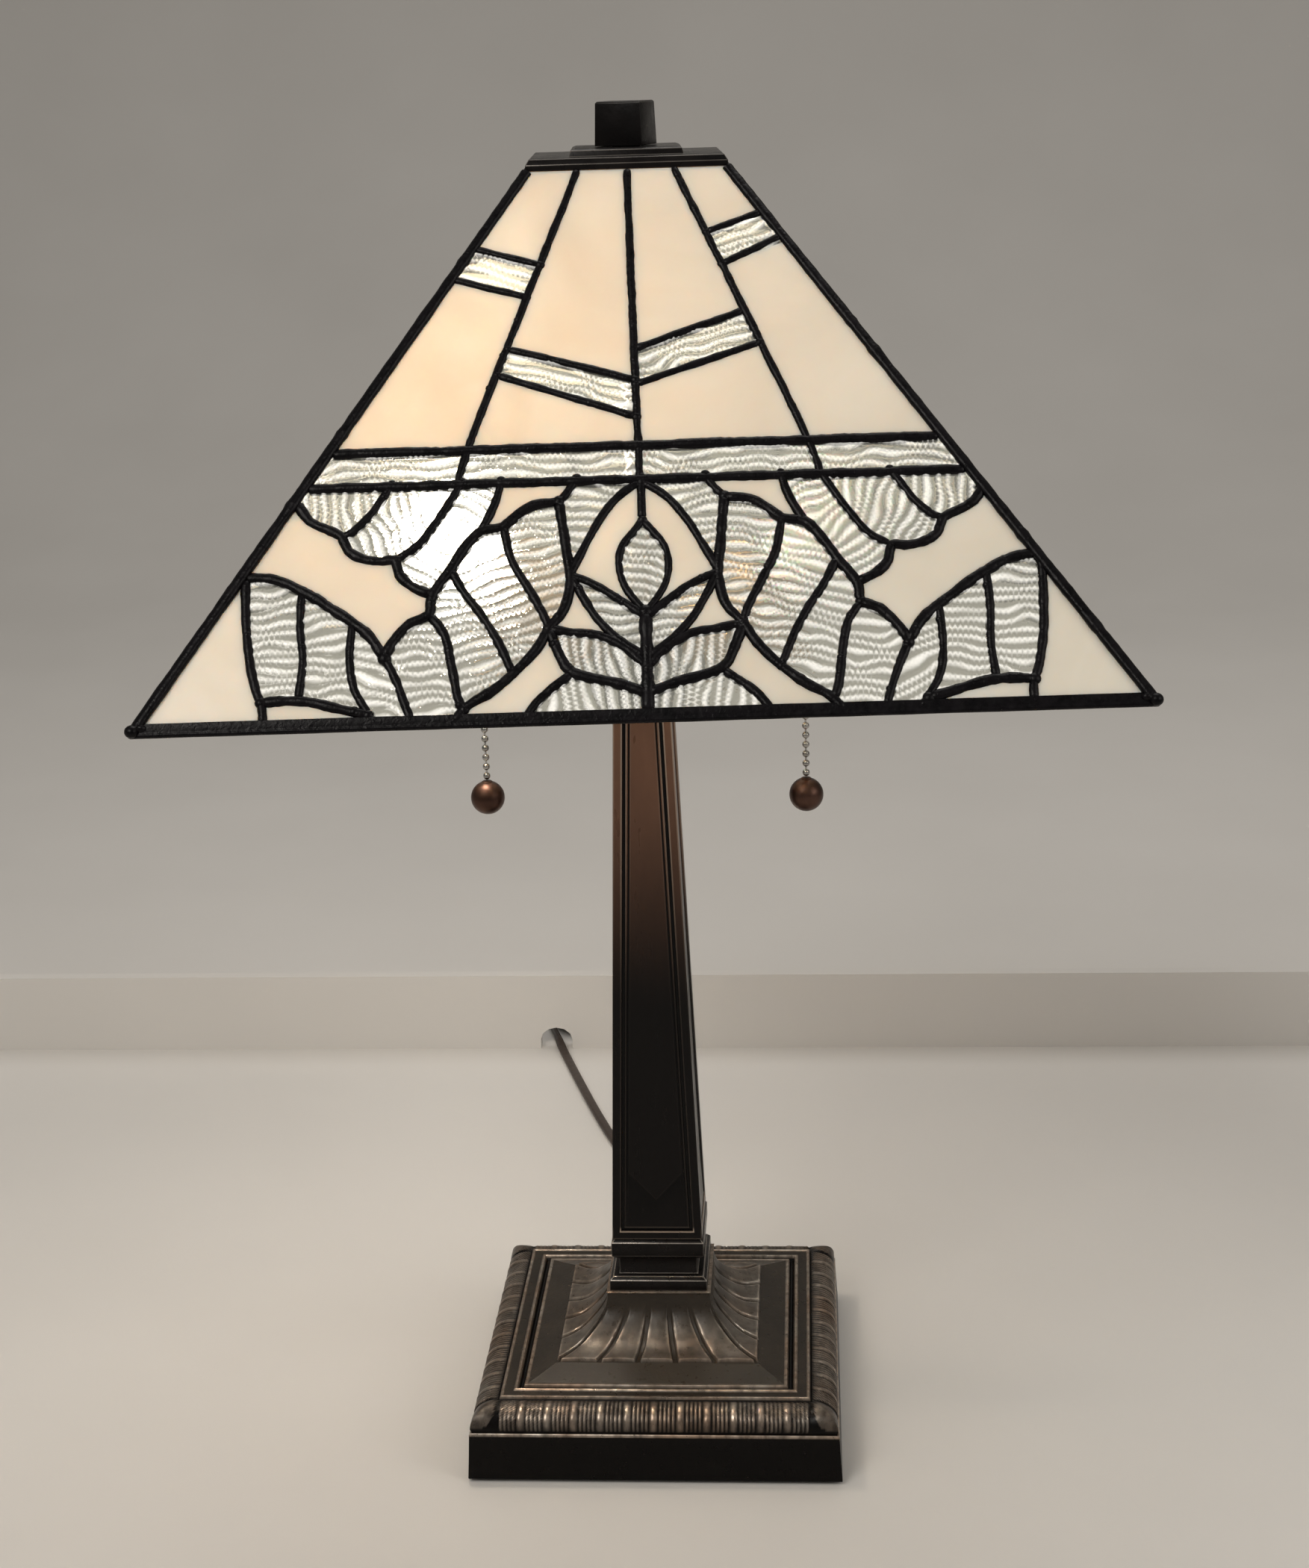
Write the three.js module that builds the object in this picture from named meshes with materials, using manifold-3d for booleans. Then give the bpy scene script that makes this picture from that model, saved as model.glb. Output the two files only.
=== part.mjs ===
// A two-light stained glass table lamp: a square cast base, a tapered square column, a twin
// pull-chain socket cluster and a four-sided leaded glass shade that hangs from its cap.
// Millimetres, +Z up. The base is centred on the origin and stands on Z = 0; its front faces -Y.
import * as THREE from 'three';
import { mergeVertices } from 'three/addons/utils/BufferGeometryUtils.js';
import Module from 'manifold-3d';

const wasm = await Module();
wasm.setup();

// ---------- driving dimensions ----------
const gap = 0.3; // left between pieces that touch
const slip = 0.5; // left round a rod or a neck that passes through a hole
const degree = Math.PI / 180;

// Threaded tube that ties the lamp together
const rodRadius = 5.1;
const rodBoreRadius = 3.4;
const rodFootZ = 10;
const nutHeight = 6;
const nutRadius = 9;
const washerThickness = 1.6;
const washerRadius = 15;

// Base casting, from the floor up; every half is half of a square's side
const feltHalf = 79;
const feltThickness = 1.4;
const plinthHalf = 82;
const plinthTaper = 1.3;
const plinthHeight = 21.9;
const plinthEdge = 0.8;
const borderWidth = 10.8;
const borderHeight = 9;
const ledgeRise = 0.7;
const ledgeWidth = 7.8;
const grooveWidth = 2.7;
const grooveDepth = 1.3;
const slopeWidth = 13.3;
const slopeRise = 4.1;
const flareTopHalf = 23.1;
const flareHeight = 23.1;
const castWall = 5;
const castTopWeb = 9;

// Collar between base and column
const collarHalf = 22.1;
const collarEdge = 1.6;
const collarFootHeight = 6.5;
const collarNeckHalf = 17.7;
const collarNeckHeight = 8.5;
const collarHeadHalf = 20.9;
const collarHeadHeight = 9.7;

// Column
const columnFootHalf = 20.3;
const columnTopHalf = 12.4;
const columnHeight = 244.2;
const columnWall = 3.6;
const panelMargin = 4.4;
const panelDepth = 0.9;
const panelPointHeight = 13;
const columnCapHalf = 14;
const columnCapThickness = 4;

// Socket cluster and sockets; distances along a socket start at its cap
const clusterRadius = 9.5;
const clusterHeight = 23;
const socketTilt = 50 * degree; // from upright
const socketStartX = 19;
const socketStartRise = 18.5; // above the cluster's underside
const bossRadius = 7;
const bossLength = 17.2;
const armRadius = 5;
const socketCapLength = 13;
const shellRadius = 16.5;
const shellWall = 0.8;
const shellLength = 37;
const linerWall = 0.7;
const coreWall = 0.9;
const coreFloor = 5.4;
const bulbBaseRadius = 12.6;
const bulbBaseLength = 26;
const bulbRadius = 24;
const bulbLength = 84;
const guideAlong = 35.6;
const guideReach = 36; // of the chain guide's mouth, from the socket's axis
const guideRadius = 3.4;
const guideMouthRadius = 4.6;
const guideBoreRadius = 2;

// Pull chains
const couplingLength = 5;
const couplingRadius = 2.5;
const couplingDrop = 4.2;
const beadRadius = 1.6;
const beadPitch = 4.2;
const beadsPerChain = 10;
const chainNeckRadius = 0.6;
const ballRadius = 7.4;

// Shade
const shadeTurn = 4.2 * degree; // where it stands on its seat
const rimAboveColumn = 41.9;
const shadeHalf = 181.8; // about 14 1/4 inches across
const capHalf = 39.4;
const shadeHeight = 183.4; // from the rim to the cap's lower edge
const glassThickness = 3;
const leadThickness = 1.2;
const rimDepth = 3.9;
const rimThickness = 3.6;
const hipRadius = 3.2;
const leadWidth = 3.2;
const heavyLeadWidth = 4.4;

// Cap, seat and finial
const capBandHeight = 4.4;
const capBandTaper = 1.5;
const capStepHalf = 22.7;
const capStepTaper = 2.3;
const capStepHeight = 2.9;
const capSheet = 2;
const topRingWidth = 3.4;
const topRingHeight = 3;
const seatNutHeight = 6;
const finialTurn = -14.2 * degree;
const finialHalf = 9.9;
const finialTaper = 0.5;
const finialHeight = 17.1;
const finialHoleDepth = 12.6;

// Flat two-core cord, its strain relief, coil and plug
const cordWidth = 5.2;
const cordThickness = 2.7;
const bushingZ = 8.5;
const bushingFlangeRadius = 6.6;
const bushingFlange = 2.2;
const bushingNeckRadius = 4.6;
const bushingNeck = 9;
const bushingTipRadius = 3.4;
const bushingLength = 24;
const coilCentre = [-62.8, 451.7];
const coilRadius = 31.2; // at the middle of its turns
const coilWidth = 21.4;
const coilHeight = 10.9;
const plugPlace = [-13.9, 468.5];
const plugHeading = -30 * degree;
const plugLength = 30;
const plugWidth = 22;
const plugTailWidth = 11;
const plugHeight = 13;
const bladeLength = 16;
const bladeWidth = 6.3;
const bladeThickness = 1.5;
const bladeSpacing = 12.7;

// The cord's centre line from the strain relief to the coil, and from the coil to the plug
const cordRoute = [
  [0, 106.9, 8.5],
  [0, 118, 8.1],
  [-1, 129, 5.6],
  [-3, 140, 2.9],
  [-7, 154, 1.8],
  [-14, 178, 1.7],
  [-23, 206, 1.7],
  [-34, 236, 1.7],
  [-46, 267, 1.7],
  [-58, 302, 1.7],
  [-70, 340, 1.7],
  [-81, 376, 1.7],
  [-89, 403, 1.7],
  [-93.6, 419.4, 1.7],
];
const tailRoute = [
  [-24.5, 474.65, 7.1],
  [-19.4, 471.7, 6.8],
  [-14.3, 468.75, 6.6],
];

// ---------- places worked out from the dimensions ----------
const rodHoleHalf = rodRadius + slip;
const castFootZ = feltThickness + gap;
const plinthTopZ = castFootZ + plinthHeight;
const borderTopZ = plinthTopZ + plinthEdge + borderHeight;
const ledgeZ = borderTopZ + ledgeRise;
const borderHalf = plinthHalf - plinthTaper - plinthEdge;
const ledgeHalf = borderHalf - borderWidth;
const slopeHalf = ledgeHalf - ledgeWidth - grooveWidth;
const flareFootHalf = slopeHalf - slopeWidth;
const flareFootZ = ledgeZ + slopeRise;
const castTopZ = flareFootZ + flareHeight;
const collarFootZ = castTopZ + gap;
const collarNeckZ = collarFootZ + collarFootHeight;
const collarHeadZ = collarNeckZ + collarNeckHeight;
const collarTopZ = collarHeadZ + collarHeadHeight;
const columnFootZ = collarTopZ + gap;
const columnTopZ = columnFootZ + columnHeight;
const clusterZ = columnTopZ + gap + columnCapThickness + gap;
const socketStartZ = clusterZ + socketStartRise;
const rimZ = columnTopZ + rimAboveColumn;
const capZ = rimZ + shadeHeight;
const capBandTopZ = capZ + capBandHeight;
const capTopZ = capBandTopZ + capStepHeight;
const finialZ = capTopZ + gap;
const rodTopZ = finialZ + finialHoleDepth - slip;

const slopeLength = Math.hypot(shadeHalf - capHalf, shadeHeight);
const inward = (shadeHalf - capHalf) / slopeLength;
const upward = shadeHeight / slopeLength;
const faceLean = Math.atan2(shadeHeight, shadeHalf - capHalf);
const faceHalf = shadeHalf - rimThickness / 2; // the glass plane's half width at the rim
const glassFoot = rimDepth + gap;
const glassTop = slopeLength - 2.2;
const hipMargin = (hipRadius + gap + 0.2) / Math.cos(Math.atan(inward));

// ---------- helpers ----------
const finishes = {
  black_bronze: [0x1b1512, 0.42, 0.55],
  rubbed_bronze: [0x3a2a20, 0.45, 0.6],
  steel: [0x8d8c88, 0.35, 0.9],
  brass: [0xb08a4a, 0.35, 0.9],
  opal_glass: [0xf3e7d2, 0.25, 0],
  bulb_glass: [0xffffff, 0.3, 0],
  lead: [0x15110f, 0.5, 0.5],
  phenolic: [0x1c1a19, 0.5, 0],
  card: [0x4b3a2a, 0.9, 0],
  felt: [0x2b2a28, 1, 0],
  cord_vinyl: [0x5a4c42, 0.5, 0],
  nickel: [0xb9b2a6, 0.3, 0.95],
};

function piece(parent, name, geometry, finish) {
  const [color, roughness, metalness] = finishes[finish];
  const mesh = new THREE.Mesh(geometry, new THREE.MeshStandardMaterial({ color, roughness, metalness }));
  mesh.name = name;
  parent.add(mesh);
  return mesh;
}

// A profile of [radius, height] turned about Z, closed on itself or ending on the axis.
function turned(profile, segments, start = 0) {
  const points = profile.map(([r, z]) => new THREE.Vector2(r, z));
  const onAxis = profile[0][0] === 0;
  if (THREE.ShapeUtils.area(points) < 0) points.reverse();
  if (!onAxis) points.push(points[0].clone());
  return new THREE.LatheGeometry(points, segments, start).rotateX(Math.PI / 2);
}

// The same for a square piece, its profile given as [half of the side, height].
function squared(profile) {
  return turned(profile.map(([half, z]) => [half * Math.SQRT2, z]), 4, Math.PI / 4);
}

function outline(points) {
  return new THREE.Shape(points.map(([x, y]) => new THREE.Vector2(x, y)));
}

function extruded(points, depth) {
  return new THREE.ExtrudeGeometry(outline(points), { depth, bevelEnabled: false });
}

function toSolid(geometry) {
  const bare = geometry.clone();
  bare.deleteAttribute('normal');
  bare.deleteAttribute('uv');
  const merged = mergeVertices(bare, 1e-4);
  const vertProperties = merged.attributes.position.array;
  const triVerts = new Uint32Array(merged.index.array);
  return new wasm.Manifold(new wasm.Mesh({ numProp: 3, vertProperties, triVerts }));
}

function toGeometry(solid) {
  const mesh = solid.getMesh();
  const geometry = new THREE.BufferGeometry();
  geometry.setAttribute('position', new THREE.BufferAttribute(mesh.vertProperties, 3));
  geometry.setIndex(new THREE.BufferAttribute(mesh.triVerts, 1));
  geometry.computeVertexNormals();
  return geometry;
}

function joined(geometries) {
  return toGeometry(geometries.map(toSolid).reduce((sum, next) => sum.add(next)));
}

function cut(geometry, cutters) {
  return toGeometry(cutters.map(toSolid).reduce((rest, next) => rest.subtract(next), toSolid(geometry)));
}

// Points from one angle to another round an ellipse, in steps.
function arc(cx, cz, rx, rz, from, to, steps) {
  return Array.from({ length: steps + 1 }, (_, i) => {
    const a = (from + ((to - from) * i) / steps) * degree;
    return [cx + rx * Math.cos(a), cz + rz * Math.sin(a)];
  });
}

const lamp = new THREE.Group();

// ---------- base ----------
// The hollow flare above the sloping panel, as [half, z] from its foot to its top, moved in by
// the given distance.
function flareCurve(inset, steps) {
  const run = flareFootHalf - flareTopHalf;
  return arc(flareFootHalf - inset, castTopZ - inset, run, flareHeight, 270, 180, steps);
}

function castOutline() {
  const quarter = arc(ledgeHalf, plinthTopZ + plinthEdge, borderWidth, borderHeight, 0, 90, 5);
  const ledgeInner = slopeHalf + grooveWidth;
  const outer = [
    [plinthHalf, castFootZ],
    [plinthHalf - plinthTaper, plinthTopZ],
    ...quarter,
    [ledgeHalf - ledgeRise, borderTopZ],
    [ledgeHalf - ledgeRise, ledgeZ],
    [ledgeInner, ledgeZ],
    [ledgeInner - grooveWidth / 4, ledgeZ - grooveDepth],
    [slopeHalf + grooveWidth / 4, ledgeZ - grooveDepth],
    [slopeHalf, ledgeZ],
    ...flareCurve(0, 6),
  ];
  const webZ = castTopZ - castTopWeb;
  const inner = [
    [rodHoleHalf, castTopZ],
    [rodHoleHalf, webZ],
    [flareTopHalf - castWall, webZ],
    flareCurve(castWall, 2)[1],
    [flareFootHalf - castWall, flareFootZ - castWall],
    [ledgeHalf - castWall, ledgeZ - grooveDepth - castWall],
    [plinthHalf - plinthTaper - castWall, plinthTopZ - castWall],
    [plinthHalf - castWall, castFootZ],
  ];
  return [...outer, ...inner];
}

function bushingHole() {
  const radius = bushingNeckRadius + gap;
  return new THREE.CylinderGeometry(radius, radius, castWall * 4, 12)
    .translate(0, plinthHalf, 0)
    .translate(0, 0, bushingZ);
}

function makeBase() {
  const casting = cut(squared(castOutline()), [bushingHole()]);
  piece(lamp, 'base_casting', casting, 'rubbed_bronze');
  const felt = new THREE.BoxGeometry(2 * feltHalf, 2 * feltHalf, feltThickness);
  piece(lamp, 'felt_pad', felt.translate(0, 0, feltThickness / 2), 'felt');
  const washerZ = castTopZ - castTopWeb - gap - washerThickness;
  const washer = [
    [rodHoleHalf, washerZ],
    [washerRadius, washerZ],
    [washerRadius, washerZ + washerThickness],
    [rodHoleHalf, washerZ + washerThickness],
  ];
  piece(lamp, 'rod_washer', turned(washer, 20), 'steel');
  piece(lamp, 'rod_nut', hexNut(washerZ - gap - nutHeight, nutHeight, nutRadius), 'steel');
}

function hexNut(z, height, radius) {
  const hole = rodHoleHalf / Math.cos(Math.PI / 6);
  return turned([[hole, z], [radius, z], [radius, z + height], [hole, z + height]], 6);
}

// ---------- rod, collar and column ----------
function makeRod() {
  const tube = [
    [rodBoreRadius, rodFootZ],
    [rodRadius, rodFootZ],
    [rodRadius, rodTopZ],
    [rodBoreRadius, rodTopZ],
  ];
  piece(lamp, 'lamp_rod', turned(tube, 14), 'steel');
}

function makeCollar() {
  const profile = [
    [rodHoleHalf, collarFootZ],
    [collarHalf, collarFootZ],
    [collarHalf, collarNeckZ - collarEdge],
    [collarHalf - collarEdge, collarNeckZ],
    [collarNeckHalf, collarNeckZ],
    [collarNeckHalf, collarHeadZ],
    [collarHeadHalf - collarEdge, collarHeadZ],
    [collarHeadHalf, collarHeadZ + collarEdge],
    [collarHeadHalf, collarTopZ - collarEdge],
    [collarHeadHalf - collarEdge, collarTopZ],
    [rodHoleHalf, collarTopZ],
  ];
  piece(lamp, 'collar', squared(profile), 'black_bronze');
}

// The cutter for the sunk panel on the front face; its foot comes down to a shallow point.
function panelCutter() {
  const footWidth = columnFootHalf - panelMargin;
  const topWidth = columnTopHalf - panelMargin;
  const foot = panelMargin;
  const top = columnHeight - panelMargin;
  const shape = [
    [0, foot],
    [footWidth, foot + panelPointHeight],
    [topWidth, top],
    [-topWidth, top],
    [-footWidth, foot + panelPointHeight],
  ];
  const lean = Math.atan2(columnFootHalf - columnTopHalf, columnHeight);
  return extruded(shape, 4 * panelDepth)
    .translate(0, 0, -panelDepth)
    .rotateX(Math.PI / 2 - lean)
    .translate(0, -columnFootHalf, columnFootZ);
}

function makeColumn() {
  const profile = [
    [columnFootHalf, columnFootZ],
    [columnTopHalf, columnTopZ],
    [columnTopHalf - columnWall, columnTopZ],
    [columnFootHalf - columnWall, columnFootZ],
  ];
  const cutters = [0, 1, 2, 3].map((side) => panelCutter().rotateZ((side * Math.PI) / 2));
  piece(lamp, 'column', cut(squared(profile), cutters), 'rubbed_bronze');
  const capFootZ = columnTopZ + gap;
  const cap = [
    [rodHoleHalf, capFootZ],
    [columnCapHalf - 1, capFootZ],
    [columnCapHalf, capFootZ + 1],
    [columnCapHalf, capFootZ + columnCapThickness - 1],
    [columnCapHalf - 1, capFootZ + columnCapThickness],
    [rodHoleHalf, capFootZ + columnCapThickness],
  ];
  piece(lamp, 'column_cap', squared(cap), 'black_bronze');
}

// ---------- socket cluster ----------
// A group at a socket's start whose +Z runs out along the socket and whose +X points down.
function socketFrame(side) {
  const frame = new THREE.Group();
  frame.position.set(side * socketStartX, 0, socketStartZ);
  frame.rotation.set(0, side * socketTilt, side < 0 ? Math.PI : 0);
  lamp.add(frame);
  return frame;
}

const bossEnd = -(socketStartX / Math.sin(socketTilt) - bossLength); // on the socket's own axis

function boss(side) {
  const length = bossLength - clusterRadius / 2;
  return new THREE.CylinderGeometry(bossRadius, bossRadius, length, 14)
    .rotateX(Math.PI / 2)
    .translate(0, 0, bossEnd - length / 2)
    .rotateY(side * socketTilt)
    .translate(side * socketStartX, 0, socketStartZ);
}

function makeCluster() {
  const profile = [
    [0, clusterZ],
    [clusterRadius - 1.5, clusterZ],
    [clusterRadius, clusterZ + 1.5],
    [clusterRadius, clusterZ + clusterHeight - 2],
    [clusterRadius - 2, clusterZ + clusterHeight],
    [0, clusterZ + clusterHeight],
  ];
  const rodHole = new THREE.CylinderGeometry(rodHoleHalf, rodHoleHalf, 4 * clusterHeight, 14)
    .rotateX(Math.PI / 2)
    .translate(0, 0, clusterZ);
  const body = cut(joined([turned(profile, 18), boss(-1), boss(1)]), [rodHole]);
  piece(lamp, 'cluster_body', body, 'black_bronze');
}

// A hole for the chain through the shell and its liner, square to the socket's axis.
function guideHole() {
  const radius = guideBoreRadius + slip;
  return new THREE.CylinderGeometry(radius, radius, shellRadius, 8)
    .rotateZ(Math.PI / 2)
    .translate(shellRadius, 0, guideAlong);
}

function sleeve(outer, wall, from, to) {
  return turned([[outer - wall, from], [outer, from], [outer, to], [outer - wall, to]], 18);
}

function makeSocket(side, hand) {
  const frame = socketFrame(side);
  const arm = turned([[armRadius - 2, bossEnd + gap], [armRadius, bossEnd + gap],
    [armRadius, -gap], [armRadius - 2, -gap]], 12);
  piece(frame, `socket_arm_${hand}`, arm, 'black_bronze');
  const capRim = socketCapLength - gap;
  const cap = [
    [armRadius - 1, 0],
    [armRadius + 3, 0],
    [shellRadius - 3, capRim * 0.45],
    [shellRadius, capRim * 0.8],
    [shellRadius, capRim],
    [shellRadius - 1, capRim],
    [shellRadius - 1, capRim * 0.85],
    [shellRadius - 4, capRim * 0.55],
    [armRadius - 1, 1.2],
  ];
  piece(frame, `socket_cap_${hand}`, turned(cap, 18), 'brass');
  const shellEnd = socketCapLength + shellLength;
  const shell = sleeve(shellRadius, shellWall, socketCapLength, shellEnd);
  piece(frame, `socket_shell_${hand}`, cut(shell, [guideHole()]), 'brass');
  const linerRadius = shellRadius - shellWall - gap;
  const liner = sleeve(linerRadius, linerWall, socketCapLength + 1, shellEnd - 1);
  piece(frame, `socket_liner_${hand}`, cut(liner, [guideHole()]), 'card');
  const coreRadius = linerRadius - linerWall - gap;
  const coreFoot = socketCapLength + 1.5;
  const core = [
    [0, coreFoot],
    [coreRadius, coreFoot],
    [coreRadius, shellEnd - 2],
    [coreRadius - coreWall, shellEnd - 2],
    [coreRadius - coreWall, coreFoot + coreFloor],
    [0, coreFoot + coreFloor],
  ];
  piece(frame, `socket_core_${hand}`, turned(core, 18), 'phenolic');
  const guide = [
    [guideBoreRadius, shellRadius + gap],
    [guideRadius + 1.5, shellRadius + gap],
    [guideRadius, shellRadius + 3],
    [guideRadius, guideReach - 4],
    [guideMouthRadius, guideReach],
    [guideBoreRadius + 1, guideReach],
    [guideBoreRadius, guideReach - 3],
  ];
  const guideGeometry = turned(guide, 10).rotateY(Math.PI / 2).translate(0, 0, guideAlong);
  piece(frame, `chain_guide_${hand}`, guideGeometry, 'brass');
  const contactAlong = coreFoot + coreFloor + gap;
  makeBulb(frame, hand, contactAlong);
}

function makeBulb(frame, hand, contactAlong) {
  const baseEnd = contactAlong + bulbBaseLength;
  const base = [
    [0, contactAlong],
    [4, contactAlong],
    [bulbBaseRadius - 2, contactAlong + 4],
    [bulbBaseRadius, contactAlong + 6],
    [bulbBaseRadius, baseEnd],
    [0, baseEnd],
  ];
  piece(frame, `bulb_base_${hand}`, turned(base, 16), 'brass');
  const centre = contactAlong + bulbLength - bulbRadius;
  const globe = arc(0, centre, bulbRadius, bulbRadius, -48, 90, 8);
  globe[globe.length - 1][0] = 0;
  const glass = [[0, baseEnd + gap], [bulbBaseRadius - 1, baseEnd + gap], ...globe];
  piece(frame, `bulb_glass_${hand}`, turned(glass, 18), 'bulb_glass');
}

// ---------- pull chains ----------
function makeChain(side, hand) {
  const sine = Math.sin(socketTilt);
  const cosine = Math.cos(socketTilt);
  const group = new THREE.Group();
  group.position.x = side * (socketStartX + guideAlong * sine + guideReach * cosine);
  lamp.add(group);
  const mouthZ = socketStartZ + guideAlong * cosine - guideReach * sine;
  const couplingTop = mouthZ - couplingDrop;
  const couplingFoot = couplingTop - couplingLength;
  const coupling = [
    [0, couplingFoot],
    [couplingRadius, couplingFoot],
    [couplingRadius, couplingTop - 1.5],
    [couplingRadius * 0.5, couplingTop],
    [0, couplingTop],
  ];
  piece(group, `chain_coupling_${hand}`, turned(coupling, 10), 'nickel');
  const chainTop = couplingFoot - gap;
  const beads = [[0, chainTop]];
  for (let bead = 0; bead < beadsPerChain; bead++) {
    const centre = chainTop - beadPitch * (bead + 0.5);
    beads.push([chainNeckRadius, centre + beadRadius]);
    beads.push([beadRadius, centre + beadRadius * 0.4]);
    beads.push([beadRadius, centre - beadRadius * 0.4]);
    beads.push([chainNeckRadius, centre - beadRadius]);
  }
  const chainFoot = chainTop - beadPitch * beadsPerChain;
  beads.push([0, chainFoot]);
  piece(group, `pull_chain_${hand}`, turned(beads, 6), 'nickel');
  const ball = new THREE.SphereGeometry(ballRadius, 14, 10).rotateX(Math.PI / 2);
  piece(group, `ball_pull_${hand}`, ball.translate(0, 0, chainFoot - gap - ballRadius), 'rubbed_bronze');
}

// ---------- shade ----------
// Lead lines on a drawing of one face: [across, up the slope] from the middle of the rim.
// The drawing is as wide and as tall as given here, and is fitted to the face it is put on.
const drawingHalf = 177.8;
const drawingCapHalf = 39.4;
const drawingHeight = 229.8;

const topLines = [
  [[0, 96], [0, 230]],
  [[-62, 96], [-61, 109.5], [-17.5, 230]],
  [[62, 96], [61, 109.5], [17.5, 230]],
  [[-66, 182], [-38, 174.5]],
  [[-58, 196], [-34, 188]],
  [[-46, 139], [0, 122.5]],
  [[-43, 152.5], [0, 137.5]],
  [[0, 137], [44, 151.5]],
  [[0, 151], [40, 165.5]],
  [[34, 186], [62, 197]],
  [[29, 199], [54, 208]],
];
const heavyLines = [
  [[-125, 109.5], [125, 109.5]],
  [[-135, 96], [135, 96]],
  [[0, 3], [0, 43]],
];
// The flower and leaves, for the right half only; the left half mirrors it
const leafLines = [
  [[148, 61], [139, 62.5], [120, 57.5], [103, 42], [91, 26], [81, 4]],
  [[142, 60], [140, 40], [136.5, 22], [133.5, 12], [133.5, 4]],
  [[134, 12.5], [118, 13], [104, 9], [96, 4]],
  [[29, 89], [28.5, 76], [25.5, 60], [33.5, 37], [46, 20], [61, 4]],
  [[29, 89], [38, 88], [48.5, 79], [58, 77.5], [65, 64], [75.5, 53], [76, 45], [86, 37.5], [91, 26]],
  [[51, 96], [62, 76], [75.5, 53], [82, 56], [87, 66], [98, 66], [106, 76], [116, 80], [128, 91]],
  [[48.5, 79], [56, 79.5]],
  [[22, 96], [29, 86]],
  [[1, 96], [14, 84], [22.5, 68], [24, 56], [12, 51], [0, 42]],
  [[0, 80], [7.5, 70], [8.5, 59], [0, 43]],
  [[24, 56], [19, 43], [11, 33], [0, 26]],
  [[0, 22], [10, 31], [22, 35.5], [33.5, 36], [25, 21], [13, 16.5], [0, 12]],
  [[0, 10], [14, 16], [26, 19], [36, 11], [42, 4]],
];

function faceHalfAt(t) {
  return faceHalf - t * inward;
}

function onFace([x, y]) {
  const t = (y / drawingHeight) * slopeLength;
  const drawn = drawingHalf - (y / drawingHeight) * (drawingHalf - drawingCapHalf);
  return [(x * faceHalfAt(t)) / drawn, t];
}

// A strip of even width along a line of points, mitred at each point.
function strip(points, width) {
  const line = points.map((point) => new THREE.Vector2(...point));
  const sides = [[], []];
  line.forEach((point, i) => {
    const before = line[Math.max(i - 1, 0)];
    const after = line[Math.min(i + 1, line.length - 1)];
    const ahead = after.clone().sub(i < line.length - 1 ? point : before).normalize();
    const behind = point.clone().sub(i > 0 ? before : point);
    const along = i > 0 ? behind.normalize().add(ahead).normalize() : ahead;
    const reach = width / 2 / Math.max(along.dot(ahead), 0.6);
    sides[0].push([point.x - along.y * reach, point.y + along.x * reach]);
    sides[1].unshift([point.x + along.y * reach, point.y - along.x * reach]);
  });
  return extruded([...sides[0], ...sides[1]], leadThickness);
}

function faceOutline(margin, foot, top) {
  const footHalf = faceHalfAt(foot) - margin;
  const topHalf = faceHalfAt(top) - margin;
  return [[-footHalf, foot], [footHalf, foot], [topHalf, top], [-topHalf, top]];
}

function leadNet() {
  const mirrored = leafLines.map((line) => line.map(([x, y]) => [-x, y]));
  const light = [...topLines, ...leafLines, ...mirrored].map((line) => strip(line.map(onFace), leadWidth));
  const heavy = heavyLines.map((line) => strip(line.map(onFace), heavyLeadWidth));
  const outer = faceOutline(hipMargin, glassFoot, glassTop);
  const border = [0, 1, 2, 3].map((i) => strip([outer[i], outer[(i + 1) % 4]], leadWidth));
  const net = [...light, ...heavy, ...border].map(toSolid).reduce((sum, next) => sum.add(next));
  const trimmed = net.intersect(toSolid(extruded(outer, leadThickness)));
  return toGeometry(trimmed.simplify(0.05));
}

// The four bars of solder over the shade's edges, each along one corner line.
function hip() {
  const from = new THREE.Vector3(faceHalfAt(6), -faceHalfAt(6), rimZ + 6 * upward);
  const top = glassTop - 2.6;
  const to = new THREE.Vector3(faceHalfAt(top), -faceHalfAt(top), rimZ + top * upward);
  const along = to.clone().sub(from);
  const turn = new THREE.Quaternion().setFromUnitVectors(new THREE.Vector3(0, 1, 0), along.clone().normalize());
  return new THREE.CylinderGeometry(hipRadius, hipRadius, along.length(), 8)
    .applyQuaternion(turn)
    .translate(...from.add(to).multiplyScalar(0.5).toArray());
}

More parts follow.
